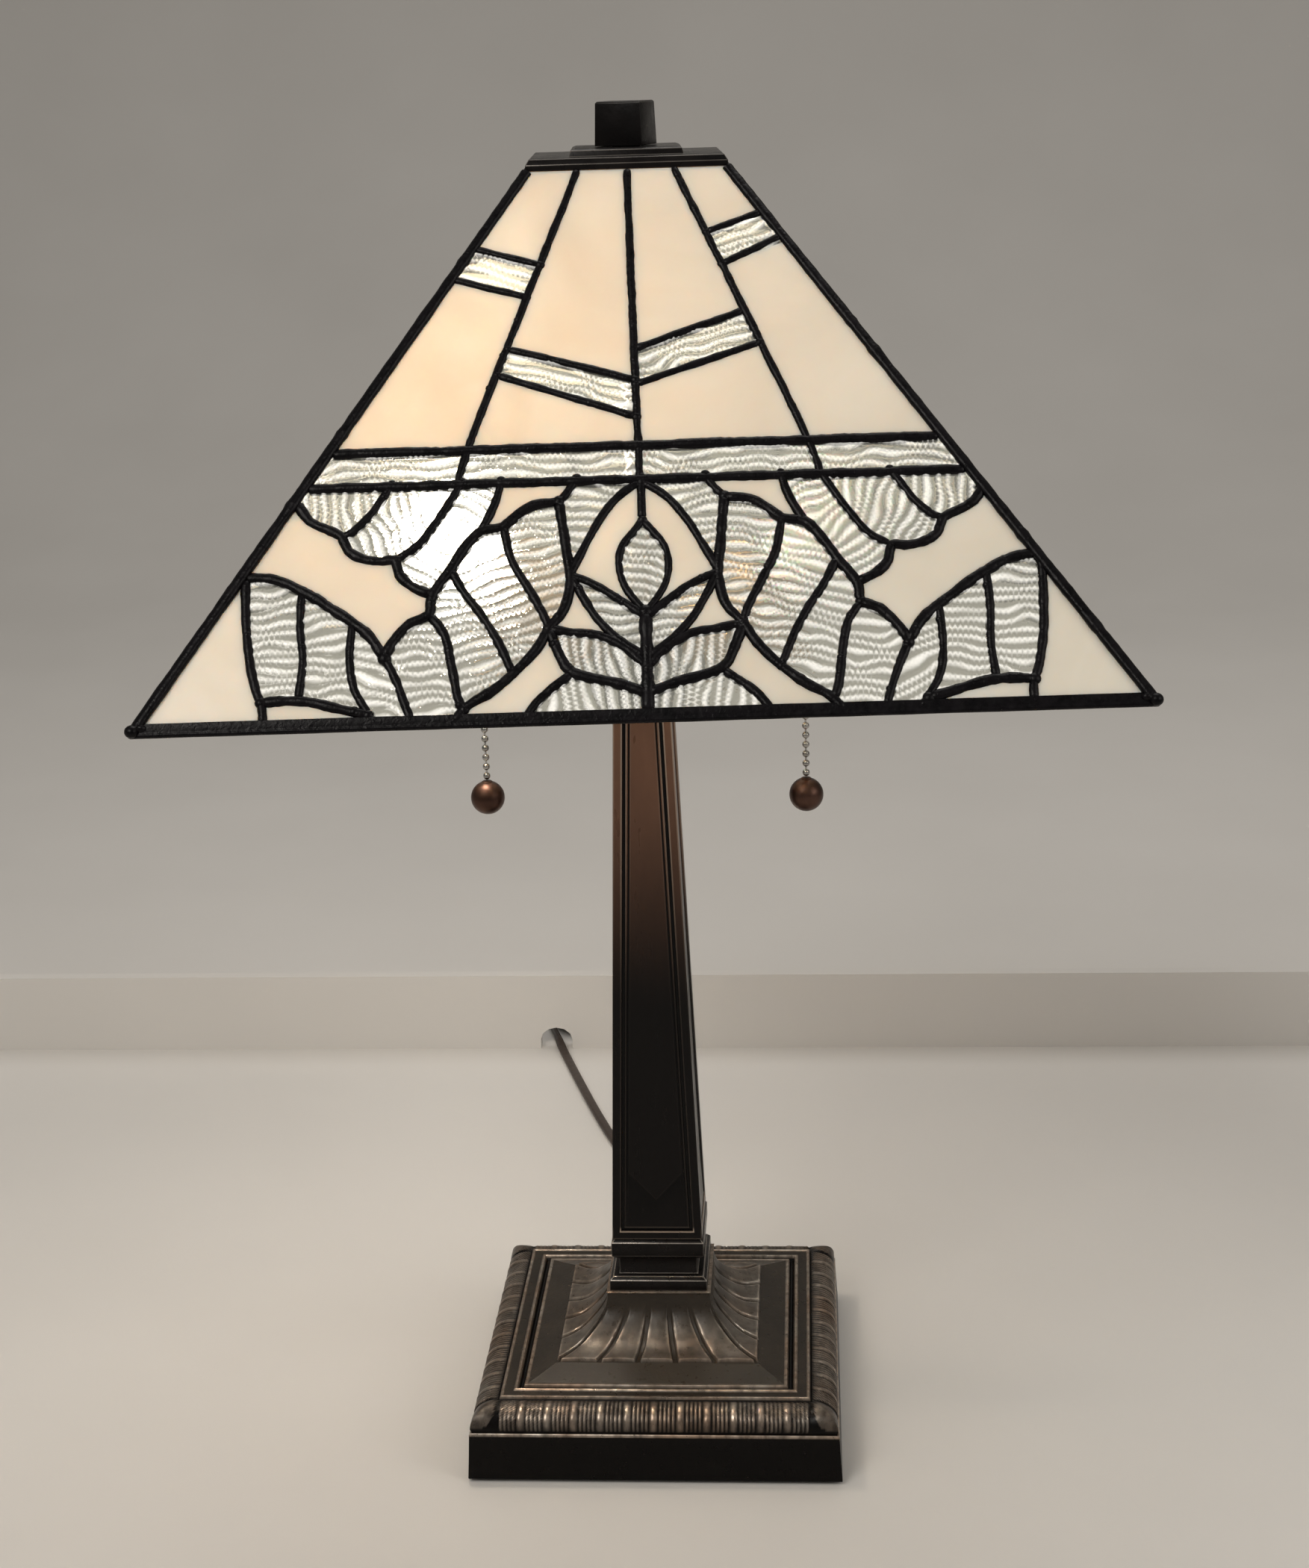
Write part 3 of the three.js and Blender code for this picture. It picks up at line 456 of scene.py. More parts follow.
# ---------- cord ----------
# The route from the strain relief to the coil, as the CAD has it, in millimetres
cord_route = [
    (0, 106.9, 8.5), (0, 118, 8.1), (-1, 129, 5.6), (-3, 140, 2.9), (-7, 154, 1.8), (-14, 178, 1.7),
    (-23, 206, 1.7), (-34, 236, 1.7), (-46, 267, 1.7), (-58, 302, 1.7), (-70, 340, 1.7),
    (-81, 376, 1.7), (-89, 403, 1.7), (-93.6, 419.4, 1.7),
]
cord_width, cord_thick = 5.2, 2.7
coil_centre = Vector((-62.8, 451.7))
tail_end = Vector((-14.3, 468.75, 6.6))


def curve_point(p0, p1, p2, p3, t):
    """A point between p1 and p2, at t from 0 to 1, on a smooth curve through all four."""
    return 0.5 * ((2 * p1) + (p2 - p0) * t + (2 * p0 - 5 * p1 + 4 * p2 - p3) * t * t
                  + (3 * p1 - p0 - 3 * p2 + p3) * t ** 3)


def spline(points, step):
    """Points about a step apart on a smooth curve through the given ones."""
    pts = [Vector(p) for p in points]
    pts = [2 * pts[0] - pts[1], *pts, 2 * pts[-1] - pts[-2]]
    out = []
    for four in zip(pts, pts[1:], pts[2:], pts[3:]):
        count = max(1, round((four[2] - four[1]).length / step))
        out += [curve_point(*four, i / count) for i in range(count)]
    out.append(pts[-2])
    return out


def cord_line():
    """The cord's centreline, and how far it is turned from lying flat to standing on its edge."""
    points = spline(cord_route, 5)
    turn = [0.0] * len(points)
    near = [i for i, p in enumerate(points) if p.y > 392]
    for k, i in enumerate(near):
        turn[i] = smooth((k + 1) / len(near), 0, 1)
        points[i] = points[i] + Vector((0, 0, 1.25 * turn[i]))
    low, high, outer, inner = 2.95, 8.2, 39.0, 23.4
    begin, end = 197.5, 60 - 360 * 6
    lower, climb = begin - 360 * 3.3, begin - 360 * 3.7
    steps = round((begin - end) / 9)
    for i in range(1, steps + 1):
        a = begin + (end - begin) * i / steps
        if a > lower:
            radius = outer + (inner - outer) * (begin - a) / (begin - lower)
            z = low
        else:
            radius = inner + (outer - inner) * (lower - a) / (lower - end)
            z = low + (high - low) * smooth(lower - a, 0, lower - climb)
        side = Vector((math.cos(math.radians(a)), math.sin(math.radians(a))))
        points.append(Vector((*(coil_centre + radius * side), z)))
        turn.append(1.0)
    last = points[-1]
    for i in range(1, 7):
        points.append(last.lerp(tail_end, i / 6))
        turn.append(1 - smooth(i / 6, 0, 0.9))
    return points, turn


def flat_section(count=20):
    """Two cores side by side, as (across, up) points round the cord."""
    radius = cord_thick / 2
    reach = (cord_width - cord_thick) / 2
    out = []
    for i in range(count):
        a = 2 * math.pi * (i + 0.5) / count
        x, y = math.cos(a), math.sin(a)
        across = math.copysign(reach, x) * min(1, abs(x) * 3) + radius * x
        waist = 1 - 0.28 * math.exp(-((across / 0.55) ** 2))
        out.append((across, radius * math.copysign(abs(y) ** 0.8, y) * waist))
    return out


def make_cord():
    points, turn = cord_line()
    rings = []
    for i, point in enumerate(points):
        ahead = (points[min(i + 1, len(points) - 1)] - points[max(i - 1, 0)]).normalized()
        across = ahead.cross(Vector((0, 0, 1))).normalized()
        up = across.cross(ahead)
        angle = turn[i] * math.pi / 2
        wide = math.cos(angle) * across + math.sin(angle) * up
        thin = -math.sin(angle) * across + math.cos(angle) * up
        rings.append([tuple(point + wide * x + thin * y) for x, y in flat_section()])
    cord = Shape().rings(rings).piece("power_cord_look", "vinyl", "base", "cord_vinyl",
                                      ["power_cord", "cord_coil", "cord_tail"], 60)
    length = sum((b - a).length for a, b in zip(points, points[1:])) * MM
    return cord, length, [tuple(p * MM) for p in points]


def make_bushing():
    lo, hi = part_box("cord_bushing")
    face = (lo.y + hi.y) / 2 / MM - 7.5
    profile = [(0, -9), (4.4, -9), (4.6, -8.6), (4.6, 0.2), (6.3, 0.3), (6.6, 0.7), (6.6, 2.0),
               (6.2, 2.5), (4.9, 2.6)]
    for ring in range(6):
        z = 4.2 + ring * 3.1
        wide = 4.7 - ring * 0.21
        neck = wide - 0.75
        profile += [(wide, z), (wide - 0.1, z + 1.0), (neck, z + 1.3), (neck, z + 2.0), (wide - 0.1, z + 2.3)]
    profile += [(3.3, 23.4), (2.9, 24), (0, 24)]
    matrix = Matrix.Translation((0, face, 8.5)) @ Matrix.Rotation(-math.pi / 2, 4, "X")
    turned("cord_bushing", profile, 32, "phenolic", "base", "phenolic", matrix, name="strain_relief")


def make_plug():
    body = refined("plug_body", "vinyl", "base", "cord_vinyl", 2.2, 4, "plug_body_look")
    parts = [body]
    turn = Matrix.Translation((-13.9, 468.5, 6.6)) @ Matrix.Rotation(math.radians(-30), 4, "Z")
    grips = Shape()
    for side in (-1, 1):
        for i in range(5):
            x = 4 + i * 2.6
            half = 5.5 + 5.5 * min(1, x / 16.5)
            grips.ball((x, side * half, 0), 0.9, 6, 10, (0.8, 0.7, 4.6))
    parts.append(grips.piece("plug_grips", "vinyl", "base", "cord_vinyl", [], 60, turn))
    for name in ("plug_blade_neutral", "plug_blade_live"):
        parts.append(refined(name, "brass", "base", "brass", 0.35, 2))
    return parts


def make_tie():
    """A twisted wire tie round the coil's turns."""
    ring = [(-11.4, 5.5), (-10.2, 0.3), (0, 0.16), (10.2, 0.3), (11.4, 5.5), (10.2, 10.9), (0, 11.2),
            (-10.2, 10.9)]
    line = []
    n = len(ring)
    for i in range(n):
        four = [Vector(ring[(i + k) % n]) for k in (-1, 0, 1, 2)]
        line += [curve_point(*four, k / 5) for k in range(5)]
    rings = []
    for i, p in enumerate(line):
        ahead = (line[(i + 1) % len(line)] - line[i - 1]).normalized()
        out = Vector((ahead.y, -ahead.x))
        rings.append([(p.x + out.x * 0.14 * b, a * 2.0, max(p.y + out.y * 0.14 * b, 0.03))
                      for a, b in ((-1, -1), (1, -1), (1, 1), (-1, 1))])
    tie = Shape().rings(rings, closed=True)
    turn = Matrix.Rotation(math.radians(-80), 4, "Z")
    matrix = Matrix.Translation((*coil_centre, 0)) @ turn @ Matrix.Translation((31.2, 0, 0))
    return tie.piece("cord_tie", "phenolic", "base", "phenolic", [], 60, matrix)


cord, cord_length, cord_path = make_cord()
make_bushing()
plug = make_plug()
tie = make_tie()


# ---------- base ----------
cast_foot, plinth_top = 1.7, 23.6
flare_foot, flare_top = (45.3, 38.2), (23.1, 61.3)
border_rows = 14


def gadroon(x, share, row, along):
    """Groups of four narrow ribs between rounded lobes, and a plain leaf at each corner. Crests
    are painted bright, most where the border faces up and out: partly rubbed metal, partly a
    painted highlight.
    """
    half = np.abs(x).max()
    size = np.abs(x)
    angle = row / border_rows
    period = 11.6
    local = (x + period / 2) % period - period / 2
    lobe = np.sqrt(np.clip(1 - (local / 2.1) ** 2, 0, 1))
    ribs_at = (np.abs(local) - 2.1) / ((period / 2 - 2.1) / 2)
    rib = np.sqrt(np.clip(1 - (2 * (ribs_at % 1) - 1) ** 2, 0, 1)) * (ribs_at > 0)
    fade = math.sin(math.pi * min(max(angle, 0.0), 1.0)) ** 0.45
    egg = fade * (0.8 + 0.5 * math.sin(math.pi * angle * 0.9))
    ribbed = size < 67.5
    height = np.where(ribbed, 0.95 * lobe * egg + 0.85 * rib * fade, 0)
    t = np.clip((size - 68.3) / max(half - 68.3, 0.1), 0, 1)
    leaf = np.where(size > 68.3, 1.1 * fade * np.sqrt(np.sin(np.pi * np.clip(t * 0.62, 0, 1))), 0)
    # Crest marks, strongest on the part facing up and out: a painted highlight as well as rubbing.
    worn_and_lit = np.where(ribbed, lobe ** 4 * fade + 0.75 * rib ** 6 * fade, 0.25 * (leaf > 0.7))
    return height + leaf, worn_and_lit * (0.35 + 0.65 * math.sin(math.pi * min(1.0, angle * 0.85)))


flute_edges = np.array([-1, -0.585, -0.195, 0.185, 0.575, 1])


def fluted(x, share, row, along):
    """Five raised flutes with square feet, which fade out below the flare's top. Their edges and
    feet are painted bright, partly as rubbed metal and partly as a painted highlight.
    """
    half = np.abs(x).max()
    gap_to = np.min(np.abs(share[:, None] - flute_edges[None, :]), axis=1) * half
    groove = 0.85 * (0.45 + 0.55 * half / flare_foot[0])
    rise = smooth(gap_to, groove, groove + 0.75)
    foot = smooth(along - 0.2 - 0.6 * (1 - rise), 0.0, 0.6)
    fade = 1 - smooth(along, 17, 31)
    crown = 0.5 * (1 - np.exp(-np.clip(gap_to - groove, 0, None) / 3.0))
    height = (1.55 + crown) * rise * foot * fade
    # Bright lines along the flute edges and the foot: a painted highlight as well as rubbing.
    rim = np.exp(-((gap_to - groove - 0.8) / 0.45) ** 2) + np.exp(-((along - 1.0) / 0.5) ** 2) * rise
    worn_and_lit = rise * foot * (0.20 + 0.80 * np.clip(rim, 0, 1)) * (1 - smooth(along, 14, 26))
    return height, np.clip(worn_and_lit, 0, 1)


def lined(marks):
    """Wear on the given rows only, with no relief: bright lines along fillets and beads, partly
    rubbed metal and partly a painted highlight.
    """
    def relief(x, share, row, along):
        return np.zeros(len(x)), np.full(len(x), marks.get(row, 0.0))
    return relief


def make_base():
    verts, faces, wear = [], [], []

    def take(profile, shares, relief=None):
        made = square_sweep(profile, shares, relief)
        faces.extend(tuple(i + len(verts) for i in face) for face in made[1])
        verts.extend(made[0])
        wear.extend(made[2])

    plain = np.linspace(-1, 1, 9)
    plinth = [(77, cast_foot), (81.4, cast_foot), (81.85, 1.9), (82, 2.5), (81.4, 12), (80.85, 22.2),
              (80.9, 22.7), (80.8, 23.3), (80.4, 23.65), (79.9, 23.6), (79.75, 23.3), (79.9, 24.4)]
    take(plinth, plain, lined({6: 0.6, 7: 1.0, 8: 0.9, 9: 0.5}))
    border = arc(69.1, plinth_top + 0.8, 10.8, 9, 0, 90, border_rows)
    corner = np.linspace(0.985, 1, 3)
    ribs = np.concatenate([np.linspace(-1, -0.985, 3)[:-1], np.linspace(-0.985, 0.985, 381), corner[1:]])
    take(border, ribs, gadroon)
    ledge = [(69.1, 33.4), (68.7, 33.2), (68.4, 33.5), (68.3, 34.2), (68.0, 34.75), (67.4, 34.9),
             (66.9, 34.7), (66.6, 34.25), (62.9, 34.1), (62.6, 34.6), (62.1, 34.95), (61.4, 34.9),
             (61.0, 34.4), (60.7, 33.5), (60.0, 32.8), (59.2, 32.8), (58.7, 33.3), (58.5, 34.3),
             (58.1, 34.8), (57.5, 34.85), (56.9, 34.6), (56.6, 34.7), (51, 36.4), (45.3, 38.2)]
    take(ledge, plain, lined({3: 0.5, 4: 0.9, 5: 1.0, 6: 0.8, 9: 0.5, 10: 1.0, 11: 1.0, 12: 0.5,
                              17: 0.6, 18: 1.0, 19: 1.0, 20: 0.4}))
    run, rise = flare_foot[0] - flare_top[0], flare_top[1] - flare_foot[1]
    angles = [0, 0.3, 0.9, 1.6, 2.4, 3.3, 4.4, 6.5, *range(9, 91, 3)]
    flare = [(flare_foot[0] - run * math.sin(a), flare_top[1] - rise * math.cos(a))
             for a in map(math.radians, angles)]
    near = np.array([0, 0.5, 0.85, 1.1, 1.35, 1.65, 2.1, 2.8, 4.0]) / flare_foot[0]
    shares = {-1.0, 1.0}
    for left, right in zip(flute_edges, flute_edges[1:]):
        shares.update(round(float(left + d), 5) for d in near)
        shares.update(round(float(right - d), 5) for d in near)
        shares.update(round(float(s), 5) for s in np.linspace(left, right, 7)[2:-2])
    take(flare, np.array(sorted(shares)), fluted)
    lip = [(23.1, 61.3), (23.25, 61.0), (23.5, 61.05), (23.6, 61.3), (23.3, 61.45), (6, 61.3), (6, 52),
           (18, 52), (20, 45), (40, 33.2), (64, 27.8), (75.7, 18.6), (77, 1.7)]
    take(lip, plain, lined({1: 0.6, 2: 1.0, 3: 1.0, 4: 0.7}))
    mesh = mesh_of("base_casting_look", verts, faces, 42, wear=wear)
    place("base_casting_look", mesh, "worn_and_lit", "base", "rubbed_bronze", ["base_casting"])
    refined("felt_pad", "felt", "base", "felt", 0.4, 2)
    refined("rod_washer", "steel", "base", "steel", 0.3, 2)
    refined("rod_nut", "steel", "base", "steel", 0.5, 2)


make_base()


# ---------- collar, rod and column ----------
def make_column():
    foot_half, top_half, foot_z, height = 20.3, 12.4, 86.6, 244.2
    lean = (foot_half - top_half) / height

    def ring(side_margin, foot, point, depth):
        """Six points round a panel on the front face, from its lower left corner."""
        top = 0.25 * side_margin
        rows = [(-1, foot + point), (0, foot), (1, foot + point)]
        rows += [(side, height - top) for side in (1, 0, -1)]
        out = []
        for side, z in rows:
            half = foot_half - lean * z
            out.append((side * (half - side_margin), -(half - depth), foot_z + z))
        return out

    # Margin at the sides, height at the foot, rise of the foot's corners, depth, wear: a painted highlight
    # above 0, painted groove shade at -1
    steps = [(0, 0, 0, 0, 1.0), (0.45, 0.45, 0, 0, 1.0), (0.6, 0.6, 0, 0, 0), (3.3, 3.2, 0, 0, 0),
             (3.4, 3.3, 0, 0, 0.9), (3.9, 3.8, 0, 0.05, 0.9), (4.15, 4.05, 0, 1.3, -1),
             (5.3, 5.2, 0, 1.3, -1), (5.5, 5.4, 0, 0.5, 0.7), (5.8, 5.8, 0, 0.45, 0.5),
             (6.3, 6.3, 0, 0.45, 0), (6.6, 17.5, 13, 0.9, -1), (7.1, 18.4, 13, 0.95, -1),
             (7.4, 19, 13, 0.8, 0.25), (7.9, 19.7, 13, 0.8, 0)]
    rings = [ring(*step[:4]) for step in steps]
    # The corner edges' lower ends get little of the mark, so they are painted brighter towards the top, where
    # the bulbs' light falls.
    wear = [0.1 if i < 2 and corner < 3 else step[4] for i, step in enumerate(steps) for corner in range(6)]
    shape = Shape()
    verts = [p for r in rings for p in r]
    faces = []
    for i in range(len(rings) - 1):
        a, b = i * 6, (i + 1) * 6
        faces += [(a + j, a + (j + 1) % 6, b + (j + 1) % 6, b + j) for j in range(6)]
    faces.append(tuple(range((len(rings) - 1) * 6, len(rings) * 6)))
    for side in range(4):
        shape.add(verts, faces, Matrix.Rotation(side * math.pi / 2, 4, "Z"))
    around = ((-1, -1), (0, -1), (1, -1), (1, 0), (1, 1), (0, 1), (-1, 1), (-1, 0))
    for z, half in ((0, foot_half), (height, top_half)):
        shape.add([(s * half, t * half, foot_z + z) for s, t in around], [tuple(range(8))])
    mesh = mesh_of("column_look", shape.verts, shape.faces, 20, weld=True, wear=wear * 4 + [0.1] * 16)
    place("column_look", mesh, "column", "base", "rubbed_bronze", ["column"])


make_column()
# The wear value sets how bright the rounded edges are painted: partly rubbed metal, partly a painted
# highlight.
refined("collar", "black", "base", "black_bronze", 0.34, 3, wear=0.85)
refined("column_cap", "black", "base", "black_bronze", 0.5, 2)
refined("cluster_body", "black", "base", "black_bronze", 0.6, 2)


def make_rod():
    """The tube through the lamp, with the thread that shows at its top."""
    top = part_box("lamp_rod")[1].z / MM
    profile = [(3.4, 10), (5.0, 10)]
    for i in range(40):
        z = top - 40 + i
        profile += [(4.75, z), (5.1, z + 0.5)]
    profile += [(4.8, top), (3.4, top)]
    turned("lamp_rod", profile, 24, "steel", "base", "steel", sharp=60)


make_rod()


# ---------- sockets, bulbs and chains ----------
socket_tilt = math.radians(50)
socket_x, socket_z = 19, 353.9
guide_along, guide_reach = 35.6, 36  # the chain guide's place on its socket, and its mouth's distance


def socket_matrix(side):
    turn = Matrix.Rotation(side * socket_tilt, 4, "Y")
    spin = Matrix.Rotation(math.pi if side < 0 else 0, 4, "Z")
    return Matrix.Translation((side * socket_x, 0, socket_z)) @ turn @ spin


def make_socket(side, hand):
    frame_of = socket_matrix(side)
    arm = [(3, -7.3), (5, -7.3), (5.6, -6.4), (5, -5.4), (4.7, -3.8), (5, -2.2), (5.6, -1.2), (5, -0.3),
           (3, -0.3)]
    turned(f"socket_arm_{hand}", arm, 36, "black", "base", "black_bronze", frame_of)
    cap = [(4, 0), (8, 0), (8.6, 0.5), (9.4, 1.6), (13.2, 5.2), (15.4, 7.6), (16.4, 9.8), (16.5, 12.2),
           (16.2, 12.7), (15.5, 12.7), (15.5, 10.4), (12.4, 7), (8.4, 2.6), (4, 1.2)]
    turned(f"socket_cap_{hand}", cap, 48, "brass", "base", "brass", frame_of)
    shell = [(15.7, 13), (16.3, 13), (16.5, 13.4), (16.5, 18), (16.75, 18.5), (16.5, 19), (16.5, 44),
             (16.8, 44.6), (16.5, 45.2), (16.5, 46.6), (16.8, 47.2), (16.5, 47.8), (16.5, 49.4),
             (16.1, 50), (15.7, 49.6)]
    turned(f"socket_shell_{hand}", shell, 48, "brass", "base", "brass", frame_of)
    liner = [(14.7, 14), (15.4, 14), (15.4, 49), (14.7, 49)]
    turned(f"socket_liner_{hand}", liner, 48, "card", "base", "card", frame_of)
    refined(f"socket_core_{hand}", "phenolic", "base", "phenolic", 0.3, 2)
    guide = [(2, 16.8), (4.9, 16.8), (4.9, 17.4), (4.0, 18.6), (3.4, 19.6), (3.4, 31.5), (3.7, 33),
             (4.5, 35.2), (4.6, 35.8), (4.2, guide_reach), (3.2, 35.8), (2.2, 33.4), (2, 32)]
    turn = frame_of @ Matrix.Translation((0, 0, guide_along)) @ Matrix.Rotation(math.pi / 2, 4, "Y")
    turned(f"chain_guide_{hand}", guide, 28, "brass", "base", "brass", turn)
    make_bulb(frame_of, hand)


def make_bulb(frame_of, hand):
    start = 20.2
    end = start + 26
    radius = 24
    body = f"bulb_{hand}"
    base = [(0, start), (3.6, start), (4, start + 0.6), (5.2, start + 1.2), (10.2, start + 3.6),
            (11.6, start + 5.4)]
    for i in range(6):
        z = start + 6.6 + i * 2.6
        base += [(12.0, z), (12.55, z + 0.8), (12.3, z + 1.6), (11.7, z + 2.1)]
    base += [(12.5, end - 3), (12.6, end - 0.4), (12.2, end), (0, end)]
    turned(f"bulb_base_{hand}", base, 40, "brass", body, "brass", frame_of)
    centre = start + 84 - radius
    glass = [(0, end + 0.3), (11.6, end + 0.3), (11.9, end + 2), (12.6, end + 4.5), (14.2, end + 8.5),
             (16.4, centre - 18.6)]
    glass += arc(0, centre, radius, radius, -44, 90, 16)
    glass[-1] = (0, centre + radius)
    finish = "lit" if hand == "left" else "unlit"
    turned(f"bulb_glass_{hand}", glass, 48, finish, body, "bulb_glass", frame_of, 50)


def make_pull_wire(side, hand, foot):
    """The wire from the switch through the guide to the coupling."""
    frame_of = socket_matrix(side)
    inner, bend, mouth = (frame_of @ Vector((reach, 0, guide_along)) for reach in (22, 33, guide_reach))
    end = Vector((mouth.x, 0, foot))
    line = spline([inner, bend, mouth - Vector((0, 0, 1.6)), end], 0.5)
    rings = []
    for i, p in enumerate(line):
        ahead = (line[min(i + 1, len(line) - 1)] - line[max(i - 1, 0)]).normalized()
        across = Vector((0, 1, 0))
        up = across.cross(ahead)
        rings.append([tuple(p + 0.7 * (math.cos(a) * across + math.sin(a) * up))
                      for a in (2 * math.pi * k / 10 for k in range(10))])
    tube = Shape().rings(rings)
    mesh = mesh_of(f"pull_wire_{hand}", tube.verts, tube.faces, 60, weld=True)
    mesh.materials.append(finishes["nickel"])
    wire = linked(f"pull_wire_{hand}", mesh)
    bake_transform(wire)


def make_chain(side, hand):
    lo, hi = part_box(f"pull_chain_{hand}")
    x, top, foot = (lo.x + hi.x) / 2 / MM, hi.z / MM, lo.z / MM
    coupling_lo, coupling_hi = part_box(f"chain_coupling_{hand}")
    low, high = coupling_lo.z / MM, coupling_hi.z / MM
    bell = [(0, low), (1.7, low), (2.4, low + 0.4), (2.5, low + 1.2), (2.4, low + 2.6), (2.0, low + 3.4),
            (1.2, low + 4.2), (1.0, high), (0, high)]
    axis = Matrix.Translation((x, 0, 0))
    turned(f"chain_coupling_{hand}", bell, 24, "nickel", f"pull_{hand}", "nickel", axis, 50)
    make_pull_wire(side, hand, high - 0.6)
    chain = Shape()
    beads, bead_radius, link_radius = 10, 1.6, 0.42
    pitch = (top - foot) / beads
    for i in range(beads):
        chain.ball((x, 0, top - pitch * (i + 0.5)), bead_radius, 10, 16)
    links = [(0, foot), (link_radius, foot), (link_radius, top), (0, top)]
    chain.lathe(links, 8, axis)
    chain.piece(f"pull_chain_{hand}_look", "nickel", f"chain_{hand}", "nickel", [f"pull_chain_{hand}"], 50)
    ball_lo, ball_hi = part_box(f"ball_pull_{hand}")
    centre, radius = (ball_lo.z + ball_hi.z) / 2 / MM, (ball_hi.z - ball_lo.z) / 2 / MM
    shape = Shape()
    shape.ball((x, 0, centre), radius, 32, 48)
    collar = [(0, -0.6), (2.3, -0.5), (2.3, -0.1), (1.7, 0.25), (0.7, 0.3), (0, 0.3)]
    shape.lathe([(r, radius + z) for r, z in collar], 20, Matrix.Translation((x, 0, centre)))
    shape.piece(f"ball_pull_{hand}_look", "ball", f"chain_{hand}", "ball", [f"ball_pull_{hand}"], 50)


for side, hand in ((-1, "left"), (1, "right")):
    make_socket(side, hand)
    make_chain(side, hand)


# ---------- shade ----------
shade_turn = math.radians(4.2)
rim_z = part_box("shade_rim")[0].z / MM
cap_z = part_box("shade_cap")[0].z / MM
shade_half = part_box("shade_rim")[1].x / MM / (math.cos(shade_turn) + math.sin(shade_turn))
cap_half = 39.4
slope = math.hypot(shade_half - cap_half, cap_z - rim_z)
inward, upward = (shade_half - cap_half) / slope, (cap_z - rim_z) / slope
face_half = shade_half - 1.8
GLASS = 3.0
pane_foot, pane_top = 3.0, slope - 1.0


def face_matrix(side):
    tilt = Matrix.Rotation(math.atan2(upward, inward), 4, "X")
    stand = Matrix.Translation((0, -face_half, rim_z))
    return Matrix.Rotation(shade_turn + side * math.pi / 2, 4, "Z") @ stand @ tilt


def half_at(t):
    return face_half - t * inward


def on_face(x, y):
    """A point of the drawing, whose half width is 176 at the rim and 37.6 at the cap, on the glass."""
    t = y * slope / 229.8 - 1.2
    return Vector((x * half_at(t) / (176 - 0.6024 * y), t))


# The pattern on one side, as (across, up the slope) in millimetres from the middle of the rim
drift = 1.5  # how far the flower stands to the right of the middle
# Upper part, which isn't symmetrical: three radial lines and four slanting bars
upper_lines = [
    [(1, 95.5), (0.5, 150), (0, 232)],
    [(-61, 95.5), (-60.5, 110), (-18, 232)],
    [(63, 95.5), (62, 110), (17, 232)],
    [(-60, 196), (-33.4, 188)],
    [(-70, 182.8), (-38.3, 174)],
    [(-45.8, 152), (0.5, 137.4)],
    [(-49.7, 141), (0.6, 121.8)],
    [(0.5, 150.4), (41.4, 165.6)],
    [(0.6, 135.5), (46.6, 151.6)],
    [(28.8, 200.4), (56, 208.8)],
    [(34, 186.2), (64, 197.7)],
]
band_lines = [[(-114, 110), (114, 110)], [(-122, 96), (122, 96)]]
# Flower and leaves, the right half
stem_line = [(0, 43), (0, 24), (0, 2)]
leaf_lines = [
    ([(91, 28), (96, 36.5), (102.5, 42.5), (111, 49), (120, 55), (129.5, 60), (143, 61.5)], 4.4),
    ([(140, 61), (139.5, 45), (138, 30), (135.5, 18), (133, 11), (132.5, 2)], 3.8),
    ([(133.5, 12.5), (126, 13), (118, 12.5), (107, 9.5), (96.5, 6.5)], 4.4),
    ([(120, 55), (120.5, 43), (119.5, 27), (120.5, 13)], 3.4),
    ([(102.5, 42.5), (103, 28), (101.5, 17), (97, 8), (92.5, 1)], 3.4),
    ([(91, 28), (86.5, 18), (81, 2)], 3.6),
    ([(29.5, 88), (28.5, 80), (27, 67), (26, 58), (27, 49), (29.5, 43), (34, 37.5), (38.5, 29.5),
      (46.5, 20.5), (54, 14), (62, 9), (68, 2)], 4.2),
    ([(29.5, 88), (38.5, 86.8), (45, 82.5), (49.5, 78.5), (57.5, 77), (63, 70.5), (68, 62), (74.5, 52),
      (75.5, 44.5), (82, 41.5), (88.5, 34), (91, 28)], 4.2),
    ([(49.5, 78.5), (46.5, 65), (41, 54), (35.5, 43), (34, 37.5)], 3.6),
    ([(68, 62), (64, 54), (55.5, 40.5), (50, 29.5), (46.5, 20.5)], 3.6),
    ([(75.5, 44.5), (70, 36), (67.5, 23), (65.5, 12), (63.5, 7.5)], 3.8),
    ([(50, 97), (52.5, 87), (57.5, 77)], 3.6),
    ([(64, 97), (72, 83), (79.5, 72), (87.5, 66.5)], 3.4),
    ([(74.5, 52), (82, 56), (86, 60.5), (87.5, 66.5), (92, 66), (98.5, 67), (104, 70.5), (106.5, 76.5),
      (112, 79.5), (118, 83), (123, 91)], 4.2),
    ([(89, 97), (96.5, 85), (103, 78), (106.5, 76.5)], 3.4),
    ([(23, 97), (26, 92), (29.5, 88)], 3.6),
    ([(0, 95), (6, 91), (12, 85), (17.5, 76), (22, 67), (26, 58), (22, 56.5), (15.5, 53), (7.5, 47),
      (0, 41)], 3.6),
    ([(0, 79.5), (4, 74), (7.5, 69), (8.8, 62.5), (8, 56), (5, 49.5), (0, 43)], 3.2),
    ([(26, 58), (21, 48.2), (16.4, 40.4), (9.7, 32.7), (0, 25.5)], 3.6),
    ([(0, 21.5), (7.5, 29.3), (16.4, 34.4), (25.3, 35.8), (34, 37.5)], 3.8),
    ([(34, 37.5), (30, 26.5), (26, 20.5), (17.5, 17.5), (9.7, 15.5), (0, 11.5)], 4.4),
    ([(26, 20), (33, 14.5), (38.5, 9.5), (43.5, 2)], 3.6),
]
